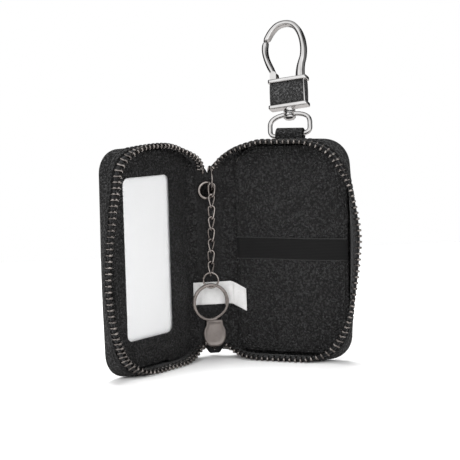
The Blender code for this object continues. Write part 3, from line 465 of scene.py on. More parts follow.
black_leather = grained_leather("Pebbled_leather", (0.005, 0.005, 0.0052), (0.042, 0.042, 0.043), 1.35, 1.0)
# The same pebbled leather made darker for the spine's lining: painted shade for the spine deep in the fold.
spine_painted_shade_leather = grained_leather("Spine_leather_painted_shade", (0.005, 0.005, 0.0052), (0.02, 0.02, 0.021), 1.5, 0.4)
strap_leather = grained_leather("Strap_leather", (0.013, 0.013, 0.0133), (0.06, 0.06, 0.061), 1.7, 0.5)
zip_fabric = woven_fabric("Zip_tape_weave", (0.006, 0.006, 0.0065), (0.017, 0.017, 0.018), 0.55, 0.1)
cord_fabric = woven_fabric("Zip_cord_weave", (0.006, 0.006, 0.0065), (0.019, 0.019, 0.02), 0.8, 0.12)
gunmetal = metal("Gunmetal_plate", (0.32, 0.288, 0.272), (0.52, 0.475, 0.45), 0.14, 0.26)
slider_metal = metal("Slider_metal", (0.36, 0.322, 0.305), (0.44, 0.398, 0.378), 0.44, 0.56)
tooth_metal = metal("Zip_tooth_metal", (0.26, 0.238, 0.226), (0.62, 0.575, 0.545), 0.14, 0.3)
chrome = metal("Polished_chrome", (0.70, 0.69, 0.685), (0.86, 0.85, 0.845), 0.04, 0.12, 0.005)
black_thread = thread_look("Black_thread", (0.008, 0.008, 0.008), (0.03, 0.03, 0.03))
elastic = elastic_look()
satin = satin_look()
white_card = card_look("White_card", (0.83, 0.83, 0.835), (0.86, 0.86, 0.865), 0.7, 0.003)
fibreboard = card_look("Grey_fibreboard", (0.16, 0.15, 0.14), (0.28, 0.26, 0.24), 0.95)
film = film_look()


# The case's outline, as in the part's source
def ease(share):
    return np.maximum(0.0, 1.0 - share) ** drop_power


def shell_top(u, side):
    radius = (notch_run ** 2 + notch_drop ** 2) / (2 * notch_drop)
    back = np.maximum(0.0, notch_run - u)
    return case_height - radius + np.sqrt(radius ** 2 - back ** 2) - set_back(u, side)


def set_back(u, side):
    """How much lower the back panel's top runs than the zip, so that the teeth make the outline."""
    near, more = back_drops[side]
    t = np.clip((u - 25.0) / 25.0, 0.0, 1.0)
    return (near + more * t * t * (3 - 2 * t)) * np.clip(u / 8.0, 0.0, 1.0)


def shell_foot(u):
    return foot_rise * ease(u / foot_run)


def rim_top(u, side):
    return case_height - rim_drop * ease(u / rim_runs[side])


def rim_foot(u, side):
    return rim_foot_rises[side] * ease(u / rim_foot_run)


def edge_top(s, side=1):
    """Top edge of the leather at a run s over the page (s > 0), round the fold and over the spine (s < 0)."""
    if s >= 0:
        return float(shell_top(s, side))
    share = min(1.0, max(0.0, 1 + s / half_spine))
    return case_height - spine_drop + (spine_drop - notch_drop) * share ** spine_power


def edge_foot(s):
    if s >= 0:
        return float(shell_foot(s)) + (fold_foot - foot_rise) * max(0.0, 1 - s / 4)
    return fold_foot + (spine_foot - fold_foot) * min(1.0, -s / half_spine)


def flare(side, z):
    angle, peak, reach_up, reach_down, power = flares[side]
    reach = reach_up if z > peak else reach_down
    return angle * (1.0 - min(1.0, abs(z - peak) / reach) ** power)


def page(side, u, z, w):
    """A point over a page: u from the fold, z up, w from its outer face inwards."""
    angle = rest_angle[side]
    x = side * half_spine + side * math.cos(angle) * u - side * math.sin(angle) * (w - half_leather)
    y = -half_leather - math.sin(angle) * u - math.cos(angle) * (w - half_leather)
    return np.array((x, y, z))


def folded(side, s, z, w):
    """A point over page, fold or spine, with the fold rounded; a layer further in folds sooner."""
    near = (w - half_leather) * math.tan(rest_angle[side] / 2)
    reach = near + fold_bend
    if s >= reach:
        return page(side, s, z, w)
    if s <= -reach:
        return np.array((side * (half_spine + s), -w, z))
    share = (s + reach) / (2 * reach)
    flat = np.array((side * (half_spine - reach), -w, z))
    corner = np.array((side * (half_spine - near), -w, z))
    up = page(side, reach, z, w)
    return flat * (1 - share) ** 2 + corner * 2 * share * (1 - share) + up * share ** 2


def corner_run(corner, steps):
    """Points round a corner as (across, down) from its start, evenly along a run, its arc and a run."""
    straight = rim_corner - corner
    quarter = math.pi / 2 * corner
    points = []
    for gone in np.linspace(0.0, 2 * straight + quarter, steps + 1):
        t = min(max((gone - straight) / corner, 0.0), math.pi / 2)
        points.append((min(gone, straight) + corner * math.sin(t),
                       corner * (1 - math.cos(t)) + max(gone - straight - quarter, 0.0)))
    return points


def stations(start, corner, top, foot, fall, steps, corner_steps):
    """From the spine along the top, round the side and back along the foot, as (u, z, lean share)."""
    far = page_width - rim_corner
    turn = corner_run(corner, corner_steps)
    rows = [(u, float(top(u)), 0.0) for u in np.linspace(start, far, steps)]
    for i in range(1, corner_steps):
        across, down = turn[i]
        share = i / corner_steps
        z = case_height - down - float(fall(far + across)) * (1 - share)
        rows.append((far + across, z, math.sin(math.pi / 2 * share)))
    rows += [(page_width, z, 1.0) for z in np.linspace(case_height - rim_corner, rim_corner, steps)]
    for i in range(1, corner_steps):
        across, down = turn[corner_steps - i]
        rows.append((far + across, down, math.cos(math.pi / 2 * i / corner_steps)))
    return rows + [(u, float(foot(u)), 0.0) for u in np.linspace(far, start, steps)]


fan_base = 13.0
fan_rim = 15.0
fan_steps = 22
line_steps = 34
corner_steps = 30
# Where each row of teeth ends on the spine and the handle of its curve there, at the top and at the foot
row_ends = {
    -1: ((-1.3, -3.0, 96.0), (-1.5, -10.4, 105.2), (-1.5, -4.1, 7.7), (-6.6, -8.4, 3.5)),
    1: ((0.9, -3.0, 97.4), (3.9, -8.6, 106.6), (4.8, -4.1, 6.0), (9.4, -8.8, 2.0))}


def bezier(a, b, c, d, steps):
    t = np.linspace(0.0, 1.0, steps)[:, None]
    return a * (1 - t) ** 3 + 3 * b * (1 - t) ** 2 * t + 3 * c * (1 - t) * t ** 2 + d * t ** 3


def outline_spots(side):
    """The shell's outline at the wall's stations, as runs from the fold and heights."""
    rows = stations(fan_base, shell_corner, lambda u: shell_top(u, side), shell_foot,
                    lambda u: set_back(u, side), line_steps, corner_steps)
    near = np.linspace(fan_base, 0.4, fan_steps)[1:]
    top = [(s, edge_top(s, side)) for s in near[::-1]]
    foot = [(s, edge_foot(s)) for s in near]
    return np.array(top + [(u, z) for u, z, _ in rows] + foot)


def strip_lines(side):
    """Foot and rim of the side wall from the spine's top to its foot, as points in the case's frame."""
    spots = outline_spots(side)
    base = np.array([folded(side, s, z, 0.0) for s, z in spots])
    rim = []
    rows = stations(fan_rim, rim_corner, lambda u: rim_top(u, side), lambda u: rim_foot(u, side),
                    lambda u: 0.0, line_steps, corner_steps)
    for (a, b), (u, z, lean) in zip(spots[fan_steps - 1:], rows):
        over = u + lean * slant * math.sin(flare(side, z))
        shift = math.hypot(over - a, z - b)
        rise = math.sqrt(max(slant ** 2 - shift ** 2, (slant / 2) ** 2)) if lean else slant
        rim.append(page(side, over, z, rise))
    rim = np.array(rim)
    ends = [np.array(point) for point in row_ends[side]]
    top = bezier(rim[0], rim[0] + unit(rim[0] - rim[1]) * 6.5, ends[1], ends[0], fan_steps)[1:]
    foot = bezier(rim[-1], rim[-1] + unit(rim[-1] - rim[-2]) * 7.5, ends[3], ends[2], fan_steps)[1:]
    return base, np.vstack([top[::-1], rim, foot])


def strip_frame(side):
    """Stations of the side wall with its slant, inward and running directions, and its length at each."""
    base, rim = strip_lines(side)
    run = unit(np.gradient(rim, axis=0))
    reach = rim - base
    across = unit(reach - run * (reach * run).sum(1, keepdims=True))
    inside = unit(np.cross(run, across)) * side
    return base, rim, run, across, inside, np.linalg.norm(reach, axis=1)


# Leather outside
def inset_spots(side):
    """The outline's spots moved inwards over the page, to where the back panel starts to bend."""
    spots = outline_spots(side)
    along_edge = unit(np.gradient(spots, axis=0))
    inward = np.stack([along_edge[:, 1], -along_edge[:, 0]], axis=1)
    return spots + inward * bend_reach


def wall_section(side):
    """The wall's sections at each station: from the back panel over a rounded edge, up the wall, round
    the turned edge at the zip and down inside."""
    base, rim, _, across, inside, _ = strip_frame(side)
    edge = rim - across * (slant - wall_slant)
    starts = [back_point(side, s, z) for s, z in inset_spots(side)]
    rows = []
    for i in range(len(base)):
        up = unit(edge[i] - base[i])
        length = np.linalg.norm(edge[i] - base[i])
        turn = min(bend_reach, length * 0.36)
        row = []
        for t in np.linspace(0.0, 1.0, 7):
            row.append(starts[i] * (1 - t) ** 2 + base[i] * 2 * t * (1 - t) + (base[i] + up * turn) * t ** 2)
        for t in np.linspace(0.0, 1.0, 7)[1:]:
            along_wall = turn + (length - 0.7 - turn) * t
            puff = 0.12 * math.sin(math.pi * t) ** 1.2
            row.append(base[i] + up * along_wall - inside[i] * puff)
        middle = edge[i] - up * 0.6 + inside[i] * 0.6
        for t in np.linspace(-0.35, 1.0, 7)[1:]:
            angle = math.pi * t
            row.append(middle - inside[i] * 0.6 * math.cos(angle) + up * 0.6 * math.sin(max(0.0, angle)))
        for share in (0.75, 0.5, 0.3, 0.16):
            row.append(base[i] + up * length * share + inside[i] * 1.2)
        rows.append(row)
    return np.array(rows)


def outer_leather(side):
    """Back panel, half of the fold and the side wall of one half, in one skin of soft leather."""
    heap = Heap()
    heap.grid(wall_section(side))
    inset = [tuple(spot) for spot in inset_spots(side)]
    near = np.linspace(0.4, -spine_seam, 10)
    foot = [(s, edge_foot(s) + 0.7) for s in near]
    top = [(s, edge_top(s, side) - 0.7) for s in near[::-1]]
    seam = [(-spine_seam, z) for z in np.linspace(foot[-1][1], top[0][1], 40)[1:-1]]
    around = np.array(inset + foot + seam + top)
    centre = np.array((30.0, 56.0))
    heap.grid([[back_point(side, *(spot + (centre - spot) * t)) for t in np.linspace(0.0, 1.0, 38)]
               for spot in around], close_rows=True)
    for sign, edge in ((1, lambda s: edge_top(s, side)), (-1, edge_foot)):
        rows = []
        for s in near:
            limit = edge(s) - sign * 0.7
            points = [folded(side, s, limit + sign * 0.7 * math.sin(t),
                             half_leather - half_leather * math.cos(t))
                      for t in np.linspace(0.0, math.pi, 7)]
            rows.append(points + [folded(side, s, limit - sign * 6.0, leather)])
        heap.grid(rows)
    made = heap.made(f"{side_name[side]}_outer_leather", black_leather)
    weld(made)
    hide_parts(f"{side_name[side]}_cover")
    hinge_with_spine(made, side)
    return made


def back_point(side, s, z):
    """Outer face of the leather, a little full in the middle of the page."""
    crown = 0.0
    if s > 0:
        crown = (0.55 * math.sin(math.pi * min(1.0, s / page_width)) ** 0.8
                 * math.sin(math.pi * z / case_height) ** 0.5)
    return folded(side, s, z, -crown)


def weld(made, distance=0.02):
    """Join points that lie together, so that the shading runs on over the seams between patches."""
    bm = bmesh.new()
    bm.from_mesh(made.data)
    bmesh.ops.remove_doubles(bm, verts=bm.verts, dist=distance * MM)
    bmesh.ops.recalc_face_normals(bm, faces=bm.faces)
    bm.to_mesh(made.data)
    bm.free()
    made.data.shade_smooth()
    return made


def hinge_with_spine(made, side):
    """Bake a piece's placement into its points."""
    begin = (page(side, 7.0, 0.0, half_leather) + case_origin) * MM
    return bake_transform(made)


def spine_leather():
    """Outer leather of the spine, notched at the top, raised at the foot and slotted for the slider."""
    heap = Heap()
    runs = np.linspace(spine_seam - half_spine, half_spine - spine_seam, 27)
    for x0, x1 in zip(runs, runs[1:]):
        in_slot = abs((x0 + x1) / 2 - slider_place) < slot_half
        columns = []
        for x in (x0, x1):
            s = abs(x) - half_spine
            top = edge_top(s) - 0.7
            foot = slot_top + 0.7 if in_slot else edge_foot(s) + 0.7
            points = []
            for angle in np.linspace(math.pi, 0.0, 6):
                y = -half_leather + half_leather * math.cos(angle)
                points.append((x, y, foot - 0.7 * math.sin(angle)))
            points += [(x, 0.0, z) for z in np.linspace(foot, top, 40)[1:-1]]
            for angle in np.linspace(0.0, math.pi, 6):
                y = -half_leather + half_leather * math.cos(angle)
                points.append((x, y, top + 0.7 * math.sin(angle)))
            columns.append(points)
        heap.grid(columns)
    made = heap.made("spine_outer_leather", black_leather)
    weld(made)
    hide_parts("spine_cover")
    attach(made, "spine")
    return made


# Stitches
def stitch_run(heap, line, out, spacing=3.1, length=2.5, radius=0.24, lift=0.12):
    """Stitches along a line, each a short thread that dips at both ends; out is the side they lie on."""
    total = length_of(line)
    count = int(total / spacing)
    for k in range(count):
        middle = (k + 0.5) * total / count
        places = along(line, middle + np.linspace(-length / 2, length / 2, 7))
        ups = unit(along_vectors(line, out, middle + np.linspace(-length / 2, length / 2, 7)))
        bow = np.sqrt(np.maximum(0.0, 1 - np.linspace(-1, 1, 7) ** 4))
        path = places + ups * ((bow * (lift + radius) - radius)[:, None])
        path[:, 2] = np.maximum(path[:, 2], radius)
        rings = swept(path, round_section(radius, 6), up=ups)
        spots = [[(j * radius * MM, (i * length / 6 + k) * MM) for j in range(6)] for i in range(7)]
        heap.grid(rings, spots, close_columns=True)


def wall_stitches(side):
    """Stitching through the wall's leather and the zip tape, just below the turned edge, on both faces."""
    base, rim, _, across, inside, _ = strip_frame(side)
    keep = slice(5, len(base) - 5)
    heap = Heap()
    outside = (rim - across * (slant - wall_slant + 2.0))[keep]
    stitch_run(heap, outside - inside[keep] * 0.1, -inside[keep])
    stitch_run(heap, outside + inside[keep] * 1.95, inside[keep])
    made = heap.made(f"{side_name[side]}_wall_stitches", black_thread)
    hinge_with_spine(made, side)
    return made


# Zip
def zip_tape(side):
    """Woven tape inside the wall, up to the cord that the teeth grip, with small gathers near the spine."""
    base, rim, _, across, inside, _ = strip_frame(side)
    count = len(base)
    rows, spots = [], []
    distance = lengths_along(rim)
    for i in range(count):
        near_end = max(0.0, 1 - min(i, count - 1 - i) / fan_steps)
        edge = rim[i] - across[i] * 3.2
        low = base[i] + unit(rim[i] - base[i]) * 1.6 + inside[i] * 1.6
        row, marks = [], []
        for t in np.linspace(0.0, 1.0, 14):
            ripple = 0.35 * near_end * math.sin(distance[i] * 1.9) * math.sin(math.pi * t)
            depth = 0.35 * math.sin(math.pi * t) + ripple
            point = low * (1 - t) + (edge + inside[i] * 1.55) * t + inside[i] * depth
            row.append(point)
            marks.append((t * 9.0 * MM, distance[i] * MM))
        for t in np.linspace(0.0, 1.0, 5)[1:]:
            row.append(edge + inside[i] * (1.55 - 0.9 * t) - across[i] * t * 2.0)
            marks.append(((9.0 + t * 2.2) * MM, distance[i] * MM))
        rows.append(row)
        spots.append(marks)
    heap = Heap()
    heap.grid(rows, spots)
    made = heap.made(f"{side_name[side]}_zip_fabric", zip_fabric)
    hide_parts(f"{side_name[side]}_zip_tape")
    hinge_with_spine(made, side)
    return made


def zip_cord(side):
    """Corded edge of the tape, which fills the gaps between the teeth's legs."""
    _, rim, _, across, inside, _ = strip_frame(side)
    path = rim - across * 3.0 + inside * (tooth_depth / 2)
    rings = swept(path, round_section(0.85, 10), up=inside)
    distance = lengths_along(path)
    spots = [[(j * 0.5 * MM, d * MM) for j in range(10)] for d in distance]
    heap = Heap()
    heap.grid(rings, spots, close_columns=True)
    made = heap.made(f"{side_name[side]}_zip_cord", cord_fabric)
    hinge_with_spine(made, side)
    return made


def tooth_shape():
    """Sections of one tooth from its legs to the tip of its head: place, width, depth and sideways shift."""
    return ((-4.4, 0.4, 1.5, 0.12), (-4.28, 0.75, 2.2, 0.13), (-4.0, 1.02, 2.6, 0.13),
            (-3.4, 1.08, 2.7, 0.1), (-2.8, 1.0, 2.4, 0.05), (-2.35, 0.85, 1.9, 0.0),
            (-1.9, 0.82, 1.75, -0.04), (-1.45, 0.95, 1.85, -0.08), (-1.0, 1.15, 2.0, -0.12),
            (-0.5, 1.12, 1.85, -0.13), (-0.15, 0.85, 1.4, -0.13), (0.0, 0.5, 0.8, -0.12))


def zip_teeth(side):
    """Every tooth of a row on its own, each with two legs round the cord, a waist and a bumped head."""
    _, rim, run, across, inside, _ = strip_frame(side)
    total = length_of(rim)
    count = int(total / tooth_pitch)
    heap = Heap()
    sections = tooth_shape()
    for k in range(count):
        at = np.array([(k + 0.5) * total / count])
        tip = along(rim, at)[0]
        axes = [unit(along_vectors(rim, v, at))[0] for v in (run, across, inside)]
        rows = []
        for place, width, depth, shift in sections:
            ring = [tip + axes[1] * place + axes[0] * (a + shift) + axes[2] * (tooth_depth / 2 + b)
                    for a, b in soft_rectangle(width, depth, min(width, depth) * 0.36, 2)]
            rows.append(ring)
        start = len(heap.points)
        heap.grid(rows, close_columns=True)
        heap.cap(start, len(rows), len(rows[0]))
        bump(heap, tip, axes)
    made = heap.made(f"{side_name[side]}_teeth", tooth_metal)
    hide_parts(f"{side_name[side]}_zip_teeth")
    hinge_with_spine(made, side)
    return made


def bump(heap, tip, axes):
    """Small raised bump on the head's face, which seats in the next tooth's hollow."""
    centre = tip - axes[1] * 0.75 + axes[2] * (tooth_depth / 2 + 0.8) - axes[0] * 0.12
    rows = []
    for height, radius in ((0.0, 0.55), (0.16, 0.5), (0.28, 0.32), (0.32, 0.08)):
        rows.append([centre + axes[2] * height + axes[0] * radius * math.cos(t)
                     + axes[1] * radius * math.sin(t) for t in np.arange(8) * math.tau / 8])
    heap.grid(rows, close_columns=True)


def end_stops():
    """Small bright clamp at the upper end of each row of teeth."""
    for side in (-1, 1):
        _, rim, run, across, inside, _ = strip_frame(side)
        heap = Heap()
        centre = rim[0] - across[0] * 1.0 + inside[0] * 1.2 - run[0] * 0.3
        rows = []
        for place, scale in ((-0.9, 0.5), (-0.75, 0.85), (-0.4, 1.0), (0.4, 1.0), (0.75, 0.85), (0.9, 0.5)):
            rows.append([centre + run[0] * place + across[0] * a * scale + inside[0] * b * scale
                         for a, b in soft_rectangle(2.0, 1.6, 0.5, 3)])
        heap.grid(rows, close_columns=True)
        heap.cap(0, len(rows), len(rows[0]))
        made = heap.made(f"{side_name[side]}_end_stop", gunmetal)
        if side < 0:
            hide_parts("upper_zip_stop")
        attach(made, "spine")


# Inside of the left half
window_left, window_right, window_foot, window_top = 15.8, 50.4, 17.0, 96.0


def lining_depth(s):
    """Front of the inner leather: raised over the window's layers on the page, low on the spine."""
    t = min(1.0, max(0.0, (s + 3.0) / 12.0))
    rise = t * t * (3 - 2 * t)
    return lining_front + (panel_front_left - lining_front) * rise


def box_outline(left, right, foot, top, radii, counts):
    """Points anticlockwise round a rounded rectangle, with a fixed count to each side."""
    corners = ((right, foot, -1, 1, -90), (right, top, -1, -1, 0),
               (left, top, 1, -1, 90), (left, foot, 1, 1, 180))
    across, up, turn = counts
    points = []
    places = []
    for (x, z, a, b, start), r in zip(corners, radii):
        centre = (x + a * r, z + b * r)
        arc = [(centre[0] + r * math.cos(math.radians(start + 90 * i / turn)),
                centre[1] + r * math.sin(math.radians(start + 90 * i / turn))) for i in range(turn + 1)]
        places.append(arc)
    for k, arc in enumerate(places):
        steps = up if k % 2 == 0 else across
        nxt = places[(k + 1) % 4][0]
        points += arc
        points += [tuple(np.array(arc[-1]) + (np.array(nxt) - arc[-1]) * i / steps) for i in range(1, steps)]
    return np.array(points)


def window_leather():
    """Inner leather of the left half, from the zip over the page and its window round to the spine."""
    counts = (26, 40, 9)
    hole = box_outline(window_left, window_right, window_foot, window_top, (3.5,) * 4, counts)
    outline = box_outline(-spine_seam, window_leather_edge, 3.6, case_height - 3.6,
                          (15.0, 15.0, 0.6, 0.6), counts)
    trimmed = []
    for s, z in outline:
        low, high = edge_foot(s) + 1.6, edge_top(s, -1) - 1.2
        if s < 20:
            z = low + (high - low) * (z - 3.6) / (case_height - 7.2)
        trimmed.append((s, z))
    outline = np.array(trimmed)
    steps = 46
    rows = []
    for inner, outer in zip(hole, outline):
        row = [folded(-1, inner[0] + n[0], inner[1] + n[1], w) for n, w in turned_edge(inner, outer)]
        for t in np.linspace(0.0, 1.0, steps):
            spot = inner + (outer - inner) * t
            crown = 0.25 * math.sin(math.pi * t) * min(1.0, np.linalg.norm(outer - inner) / 12)
            row.append(folded(-1, spot[0], spot[1], lining_depth(spot[0]) + crown - edge_fall(spot)))
        rows.append(row)
    heap = Heap()
    heap.grid(rows, close_rows=True)
    made = heap.made("left_inner_leather", black_leather)
    weld(made)
    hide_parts("left_window_panel")
    hinge_with_spine(made, -1)
    return made


def turned_edge(inner, outer):
    """Rounded edge that goes down to the film at the window."""
    away = unit(inner - outer)
    radius = 0.55
    front = lining_depth(inner[0])
    points = [(away * -0.3, front - 1.15)]
    for angle in np.linspace(math.pi / 2, 0.0, 5)[:-1]:
        inwards = away * -(radius - radius * math.sin(angle))
        points.append((inwards, front - radius + radius * math.cos(angle)))
    return points


def edge_fall(spot):
    """The panel's outer edge bends down into the corner by the zip tape."""
    margin = min(window_leather_edge - spot[0], spot[1] - edge_foot(spot[0]) - 1.6,
                 edge_top(spot[0], -1) - 1.2 - spot[1])
    return 1.1 * max(0.0, 1 - margin / 1.6) ** 2


# Spine lining
def spine_lining():
    """Inner leather of the spine from seam to seam, holed for the eyelet and slotted for the slider. Its
    leather is a darker copy of the pebbled leather, painted shade for the spine deep in the fold.
    """
    heap = Heap()
    left, right = -half_spine + spine_seam, half_spine - spine_seam
    hole = 3.9
    runs = np.linspace(left, right, 27)
    for x0, x1 in zip(runs, runs[1:]):
        in_slot = abs((x0 + x1) / 2 - slider_place) < slot_half
        columns = []
        for x in (x0, x1):
            s = abs(x) - half_spine
            top = edge_top(s) - 1.0
            foot = slot_top if in_slot else edge_foot(s) + 1.4
            points = [(x, -lining_front + 1.0, foot), (x, -lining_front + 0.25, foot + 0.12)]
            for z in np.linspace(foot + 0.5, top - 0.5, 74):
                points.append((x, -spine_face(x, z), z))
            points += [(x, -spine_face(x, top) + 0.3, top - 0.08), (x, -1.9, top)]
            columns.append(points)
        heap.grid(columns)
    made = heap.made("spine_inner_leather", spine_painted_shade_leather)
    weld(made)
    punch(made, hole)
    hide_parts("spine_lining")
    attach(made, "spine")
    return made


def spine_face(x, z):
    """Front of the spine's lining, pulled in round the eyelet and softly uneven below the notch."""
    away = math.hypot(x - eyelet_place[0], z - eyelet_place[1])
    pull = -0.35 * math.exp(-(away - 4.6) ** 2 / 3.0)
    swell = 0.25 * math.exp(-((z - 91.5) / 3.0) ** 2)
    return lining_front + pull + swell


def punch(made, radius):
    """Take the faces inside a round hole at the eyelet away."""
    bm = bmesh.new()
    bm.from_mesh(made.data)
    x, z = ((case_origin[0] + eyelet_place[0]) * MM, (case_origin[2] + eyelet_place[1]) * MM)
    gone = [f for f in bm.faces if all(math.hypot(v.co.x - x, v.co.z - z) < radius * MM for v in f.verts)]
    bmesh.ops.delete(bm, geom=gone, context="FACES")
    bm.to_mesh(made.data)
    bm.free()


def right_fold_lining():
    """Inner leather from the spine round the right fold to under the right panel's edge."""
    heap = Heap()
    rows = []
    for s in np.arange(-spine_seam, 6.6, 0.4):
        top, foot = edge_top(s) - 1.0, edge_foot(s) + 1.4
        depth = lining_front - 0.9 * min(1.0, max(0.0, (s + 2.0) / 5.0))
        row = [folded(1, s, foot, depth - 1.2)]
        row += [folded(1, s, z, depth) for z in np.linspace(foot, top, 60)]
        row.append(folded(1, s, top, depth - 1.2))
        rows.append(row)
    heap.grid(rows)
    made = heap.made("right_fold_leather", black_leather)
    weld(made)
    hinge_with_spine(made, 1)
    return made


# Inside of the right half
def panel_spot(u, z):
    """Front of the right panel: crowned a little, with a pressed line near its edge."""
    margin = min(u - panel_left, panel_right - u, z - panel_foot, panel_top - z)
    line = 0.28 * math.exp(-((margin - 1.5) / 0.28) ** 2)
    fall = 0.5 * max(0.0, 1 - margin / 0.7) ** 2
    crown = 0.3 * min(1.0, margin / 14.0)
    return panel_front_right + crown - line - fall


def right_panel():
    """Pebbled panel of the right half, rounded to the case's outline."""
    outer = box_outline(panel_left, panel_right, panel_foot, panel_top, (15.0, 15.0, 13.0, 8.0),
                        (50, 90, 12))
    rows = []
    steps = np.concatenate([np.linspace(0.0, 0.06, 5), np.linspace(0.08, 0.2, 8), np.linspace(0.24, 0.9, 12)])
    middle = np.array((31.4, 56.0))
    for point in outer:
        core = np.clip(point, (20.0, 22.0), (42.0, 90.0))
        core = core * 0.55 + middle * 0.45
        row = [page(1, point[0], point[1], panel_front_right - 1.0)]
        for t in steps:
            spot = point + (core - point) * t
            row.append(page(1, spot[0], spot[1], panel_spot(*spot)))
        rows.append(row)
    heap = Heap()
    heap.grid(rows, close_rows=True)
    rim = [row[-1] for row in rows]
    heap.add(rim + [page(1, middle[0], middle[1], panel_spot(*middle))],
             [(i, (i + 1) % len(rim), len(rim)) for i in range(len(rim))])
    made = heap.made("right_panel_leather", black_leather)
    weld(made)
    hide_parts("right_inner_panel")
    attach(made, "right_half")
    return made


def panel_stitches():
    """Black stitching all round the right panel, just inside its edge."""
    heap = Heap()
    angle = rest_angle[1]
    outline = box_outline(5.2, 59.6, 5.4, 106.6, (13.5, 13.5, 11.5, 6.5), (26, 40, 12))
    line = np.array([page(1, u, z, panel_spot(u, z) + 0.12) for u, z in np.vstack([outline, outline[:1]])])
    out = np.tile((-math.sin(angle), -math.cos(angle), 0.0), (len(line), 1))
    stitch_run(heap, line, out, 3.0, 2.3, 0.17, 0.02)
    made = heap.made("right_panel_stitches", black_thread)
    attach(made, "right_half")
    return made


def elastic_strap():
    """Elastic across the right panel with lowered ends, and the round cords along its edges."""
    low, high = 51.1, 61.9
    rows, spots = [], []
    for u in np.linspace(elastic_start, elastic_end, 70):
        tuck = max(0.0, 1 - min(u - elastic_start, elastic_end - u) / 1.6)
        sway = 0.12 * math.sin(u * 0.11)
        row, marks = [], []
        front = 4.32 - 0.5 * tuck
        for t in np.linspace(0.0, 1.0, 17):
            z = low + (high - low) * t + sway
            edge = 0.16 * max(0.0, 1 - min(t, 1 - t) / 0.06)
            hollow = -0.1 * math.sin(math.pi * t)
            row.append(page(1, u, z, front - edge + hollow))
            marks.append((z * MM, u * MM))
        row = [page(1, u, low + sway, front - 0.7)] + row + [page(1, u, high + sway, front - 0.7)]
        marks = [marks[0]] + marks + [marks[-1]]
        rows.append(row)
        spots.append(marks)
    heap = Heap()
    heap.grid(rows, spots)
    made = heap.made("elastic_strap", elastic)
    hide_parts("elastic_band")
    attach(made, "right_half")
    heap = Heap()
    for place in (1, -2):
        line = np.array([row[place] for row in rows])
        heap.tube(line, round_section(0.26, 8), up=(0, 0, 1))
    made = heap.made("elastic_selvedges", black_thread)
    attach(made, "right_half")
    return made


# Label
def label_ribbon():
    """Satin ribbon from the spine over the right fold, with a hem, a crease and a curled free end."""
    left, right_run = -9.3, 8.0
    heap = Heap()
    rows, spots = [], []
    count = 60
    total = (half_spine - left) + right_run
    for d in np.linspace(0.0, total, count):
        x = left + d
        s = x - half_spine
        drop = 3.6 * min(1.0, max(0.0, (s + 2.5) / 10.0)) ** 1.5
        curl = 1.3 * max(0.0, (s - 4.0) / 4.6) ** 2
        lift = 0.35 * math.sin(max(0.0, min(1.0, (d - 3.0) / 16.0)) * math.pi)
        row, marks = [], []
        for t in np.linspace(0.0, 1.0, 16):
            z = 27.8 + label_height * t - drop - 0.25 * math.sin(math.pi * t) * math.sin(d * 0.5)
            bend = 0.18 * math.exp(-((d - 4.2) / 0.5) ** 2) + 0.12 * math.exp(-((t - 0.12) / 0.05) ** 2)
            depth = lining_front + 0.55 + lift + curl * (0.4 + 0.6 * t) + bend
            row.append(folded(1, s, z, depth if s < 0 else max(depth, 4.2)))
            marks.append((d * MM, t * label_height * MM))
        back = [p + np.array((0.05, 0.28, 0.0)) for p in reversed(row)]
        rows.append(row + back)
        spots.append(marks + marks[::-1])
    heap.grid(rows, spots, close_columns=True)
    heap.cap(0, count, len(rows[0]))
    made = heap.made("satin_label", satin)
    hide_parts("label", "label_tail")
    begin = (page(1, 6.0, 0.0, 4.0) + case_origin) * MM
    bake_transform(made)
    return made


# Eyelet, chain and rings
def lathe(name, profile, place, material, body, replaced=(), axis="Y", steps=48, turn=None):
    """Turn a closed (radius, height) profile about an axis at a place."""
    heap = Heap()
    rows = []
    for t in np.arange(steps) * math.tau / steps:
        ring = []
        for r, h in profile:
            point = np.array((r * math.cos(t), h, r * math.sin(t))) if axis == "Y" else np.array(
                (r * math.cos(t), r * math.sin(t), h))
            ring.append(place + (turn @ point if turn is not None else point))
        rows.append(ring)
    heap.grid(rows, close_rows=True, close_columns=True)
    made = heap.made(name, material)
    sharpen(made, 50)
    if replaced:
        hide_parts(*replaced)
    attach(made, body)
    return made


def sharpen(made, degrees):
    made.data.set_sharp_from_angle(angle=math.radians(degrees))
    return made


def eyelet():
    profile = [(3.2, 0.9), (3.2, -4.0)]
    for t in np.linspace(0.0, math.pi, 11):
        profile.append((4.0 - 0.8 * math.cos(t), -3.75 - 0.62 * math.sin(t)))
    profile += [(4.82, -3.5), (3.6, -3.45), (3.6, 0.9)]
    place = np.array((eyelet_place[0], 0.0, eyelet_place[1]))
    lathe("rolled_eyelet", profile, place, gunmetal, "spine", ("eyelet",))


# Chain
def turned(angle, axis):
    return np.array(Matrix.Rotation(math.radians(angle), 3, axis))


def chain_places():
    """Origin and axes of the eight links, the small ring and the key ring, each hanging from the last."""
    jump = np.array((1.1, -2.5, eyelet_place[1] + 5.7))
    seat, forward = 4.8, 4.4
    place = jump + np.array((0.0, -forward, -math.sqrt(seat ** 2 - forward ** 2)))
    axes = turned(2.0, "Y") @ turned(-25.0, "Z")
    places = []
    for number in range(1, 9):
        places.append((place, axes))
        place = place + axes @ (0.0, 0.0, -5.7)
        axes = axes @ turned(65.0 if number == 1 else 80.0 if number % 2 else -80.0, "Z")
    upright = axes @ turned(40.0, "Z")
    place = place + upright @ (0.0, 0.0, 0.025)
    places.append((place, upright @ turned(-14.0, "Z")))
    places.append((place + upright @ (0.0, 0.0, -6.3), upright @ turned(10.0, "Z")))
    return jump, places


def round_wire(name, path, radius, body, ups, closed=True, section=None):
    heap = Heap()
    heap.tube(path, section or round_section(radius, 14), closed=closed, up=ups)
    made = heap.made(name, gunmetal)
    sharpen(made, 50)
    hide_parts(body)
    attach(made, body)
    return made


